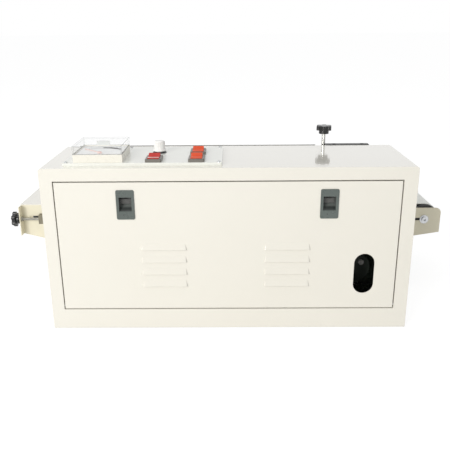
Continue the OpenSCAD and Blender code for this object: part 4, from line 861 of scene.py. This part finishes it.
wires("board_wires", [board_run(i) for i in range(4)], wire_yellow, 0.9)
wires("mains_wires", [
    [(308, 170.5, 58), (309, 164, 60), (330, 152, 72), (372, 147, 74), (396, 141, 64),
     (389, 137, 55)],
    [(340, 170.5, 58), (341, 165, 61), (356, 156, 70), (384, 130, 76), (397, 104, 66),
     (389, 91, 55)],
], wire_black, 1.4)
wires("relay_wires", [
    [(389, 137, 13), (398, 132, 14), (402, 90, 16), (400, 60, 22), (393, 44, 26),
     (393, 35.5, 19)],
    [(389, 91, 13), (395, 84, 13), (396, 66, 18), (386, 50, 26), (381, 40, 26),
     (381, 35.5, 19)],
], wire_red, 1.2)
wires("motor_wires", [motor_run(i) for i in range(2)], wire_blue, 1.4)


# ---------------------------------------------------------------- studio

WHITE = (1, 1, 1, 1)
FLOOR_HALF = 30
FLOOR_GLOW = 0.84
FLOOR_SEEN_GREY = (0.3, 0.3, 0.3, 1)
WORLD_LIGHT = 0.5

scene = bpy.context.scene
scene.view_settings.view_transform = "Standard"

floor_mesh = bpy.data.meshes.new("floor")
corners = [(x * FLOOR_HALF, y * FLOOR_HALF, 0) for x, y in ((-1, -1), (1, -1), (1, 1), (-1, 1))]
floor_mesh.from_pydata(corners, [], [(0, 1, 2, 3)])
floor = bpy.data.objects.new("floor", floor_mesh)
scene.collection.objects.link(floor)


def seen_directly(nodes, links):
    """1 for rays from the camera, also by way of gloss or clear plastic, else 0."""
    path = nodes.new("ShaderNodeLightPath")
    seen = path.outputs["Is Camera Ray"]
    for ray in ("Is Glossy Ray", "Is Transmission Ray"):
        either = nodes.new("ShaderNodeMath")
        either.operation = "MAXIMUM"
        links.new(seen, either.inputs[0])
        links.new(path.outputs[ray], either.inputs[1])
        seen = either.outputs[0]
    return seen


def choose(nodes, links, unseen, seen, out):
    """One shader for light that falls on the machine, another for what is seen."""
    mixed = nodes.new("ShaderNodeMixShader")
    links.new(seen_directly(nodes, links), mixed.inputs[0])
    links.new(unseen.outputs[0], mixed.inputs[1])
    links.new(seen.outputs[0], mixed.inputs[2])
    links.new(mixed.outputs[0], out.inputs[0])


def floor_material():
    """Matt white that lights the machine as plain paper, and looks white with a soft shadow."""
    t = Tree("floor_white")
    t.colour(t.mix(t.noise(2, 2), (0.86, 0.86, 0.86), (0.85, 0.85, 0.85)))
    t.put("Roughness", 0.95)
    t.put("Specular IOR Level", 0.0)
    matt = t.nodes.new("ShaderNodeBsdfDiffuse")
    matt.inputs["Color"].default_value = FLOOR_SEEN_GREY
    glow = t.nodes.new("ShaderNodeEmission")
    glow.inputs["Strength"].default_value = FLOOR_GLOW
    shown = t.nodes.new("ShaderNodeAddShader")
    t.link(matt.outputs[0], shown.inputs[0])
    t.link(glow.outputs[0], shown.inputs[1])
    choose(t.nodes, t.links, t.shader, shown, t.out)
    return t.done()


def backdrop():
    """White where it is seen, a soft even light otherwise."""
    world = bpy.data.worlds.new("studio")
    world.use_nodes = True
    nodes, links = world.node_tree.nodes, world.node_tree.links
    nodes.clear()
    light = nodes.new("ShaderNodeBackground")
    light.inputs["Color"].default_value = (0.99, 0.995, 1.0, 1)
    light.inputs["Strength"].default_value = WORLD_LIGHT
    shown = nodes.new("ShaderNodeBackground")
    shown.inputs["Color"].default_value = WHITE
    shown.inputs["Strength"].default_value = 1.0
    choose(nodes, links, light, shown, nodes.new("ShaderNodeOutputWorld"))
    return world


def area(name, place, target, size, power, colour):
    """Round lamp that points at a target."""
    data = bpy.data.lights.new(name, "AREA")
    data.shape = "DISK"
    data.size = size
    data.energy = power
    data.color = colour
    obj = bpy.data.objects.new(name, data)
    obj.location = place
    aim = (Vector(target) - Vector(place)).to_track_quat("-Z", "Y")
    obj.rotation_euler = aim.to_euler()
    scene.collection.objects.link(obj)


floor_mesh.materials.append(floor_material())
scene.world = backdrop()
area("key", (-2.2, -3.4, 1.5), (0, -0.1, 0.15), 2.1, 98, (1, 0.985, 0.955))
area("overhead", (-0.4, 0.1, 2.4), (0, 0, 0), 2.0, 7.5, (1, 1, 1))


# ---------------------------------------------------------------- camera

# Pinhole fitted to the photograph: angles in radians, place in cabinet widths from the
# cabinet's top front left corner
YAW, PITCH, ROLL = 0.0099, 0.3262, -0.0081
FOCAL_PX, PHOTO_PX, SENSOR_MM = 601.1, 450, 36
CAMERA_PLACE = Vector((0.5058, -1.5344, 0.3614))

cam_data = bpy.data.cameras.new("camera")
cam_data.sensor_width = SENSOR_MM
cam_data.lens = FOCAL_PX / PHOTO_PX * SENSOR_MM
camera = bpy.data.objects.new("camera", cam_data)
right = Vector((math.cos(YAW), math.sin(YAW), 0))
ahead = Vector((-math.sin(YAW), math.cos(YAW), 0)) * math.cos(PITCH)
ahead.z = -math.sin(PITCH)
up = right.cross(ahead)
turned_right = right * math.cos(ROLL) + up * math.sin(ROLL)
turned_up = up * math.cos(ROLL) - right * math.sin(ROLL)
corner = Vector((SHELL_LO.x, SHELL_LO.y, SHELL_HI.z))
place = corner + CAMERA_PLACE * (SHELL_HI.x - SHELL_LO.x)
rotation = Matrix((turned_right, turned_up, -ahead)).transposed().to_4x4()
camera.matrix_world = Matrix.Translation(place) @ rotation
scene.collection.objects.link(camera)
scene.camera = camera

bpy.context.view_layer.update()
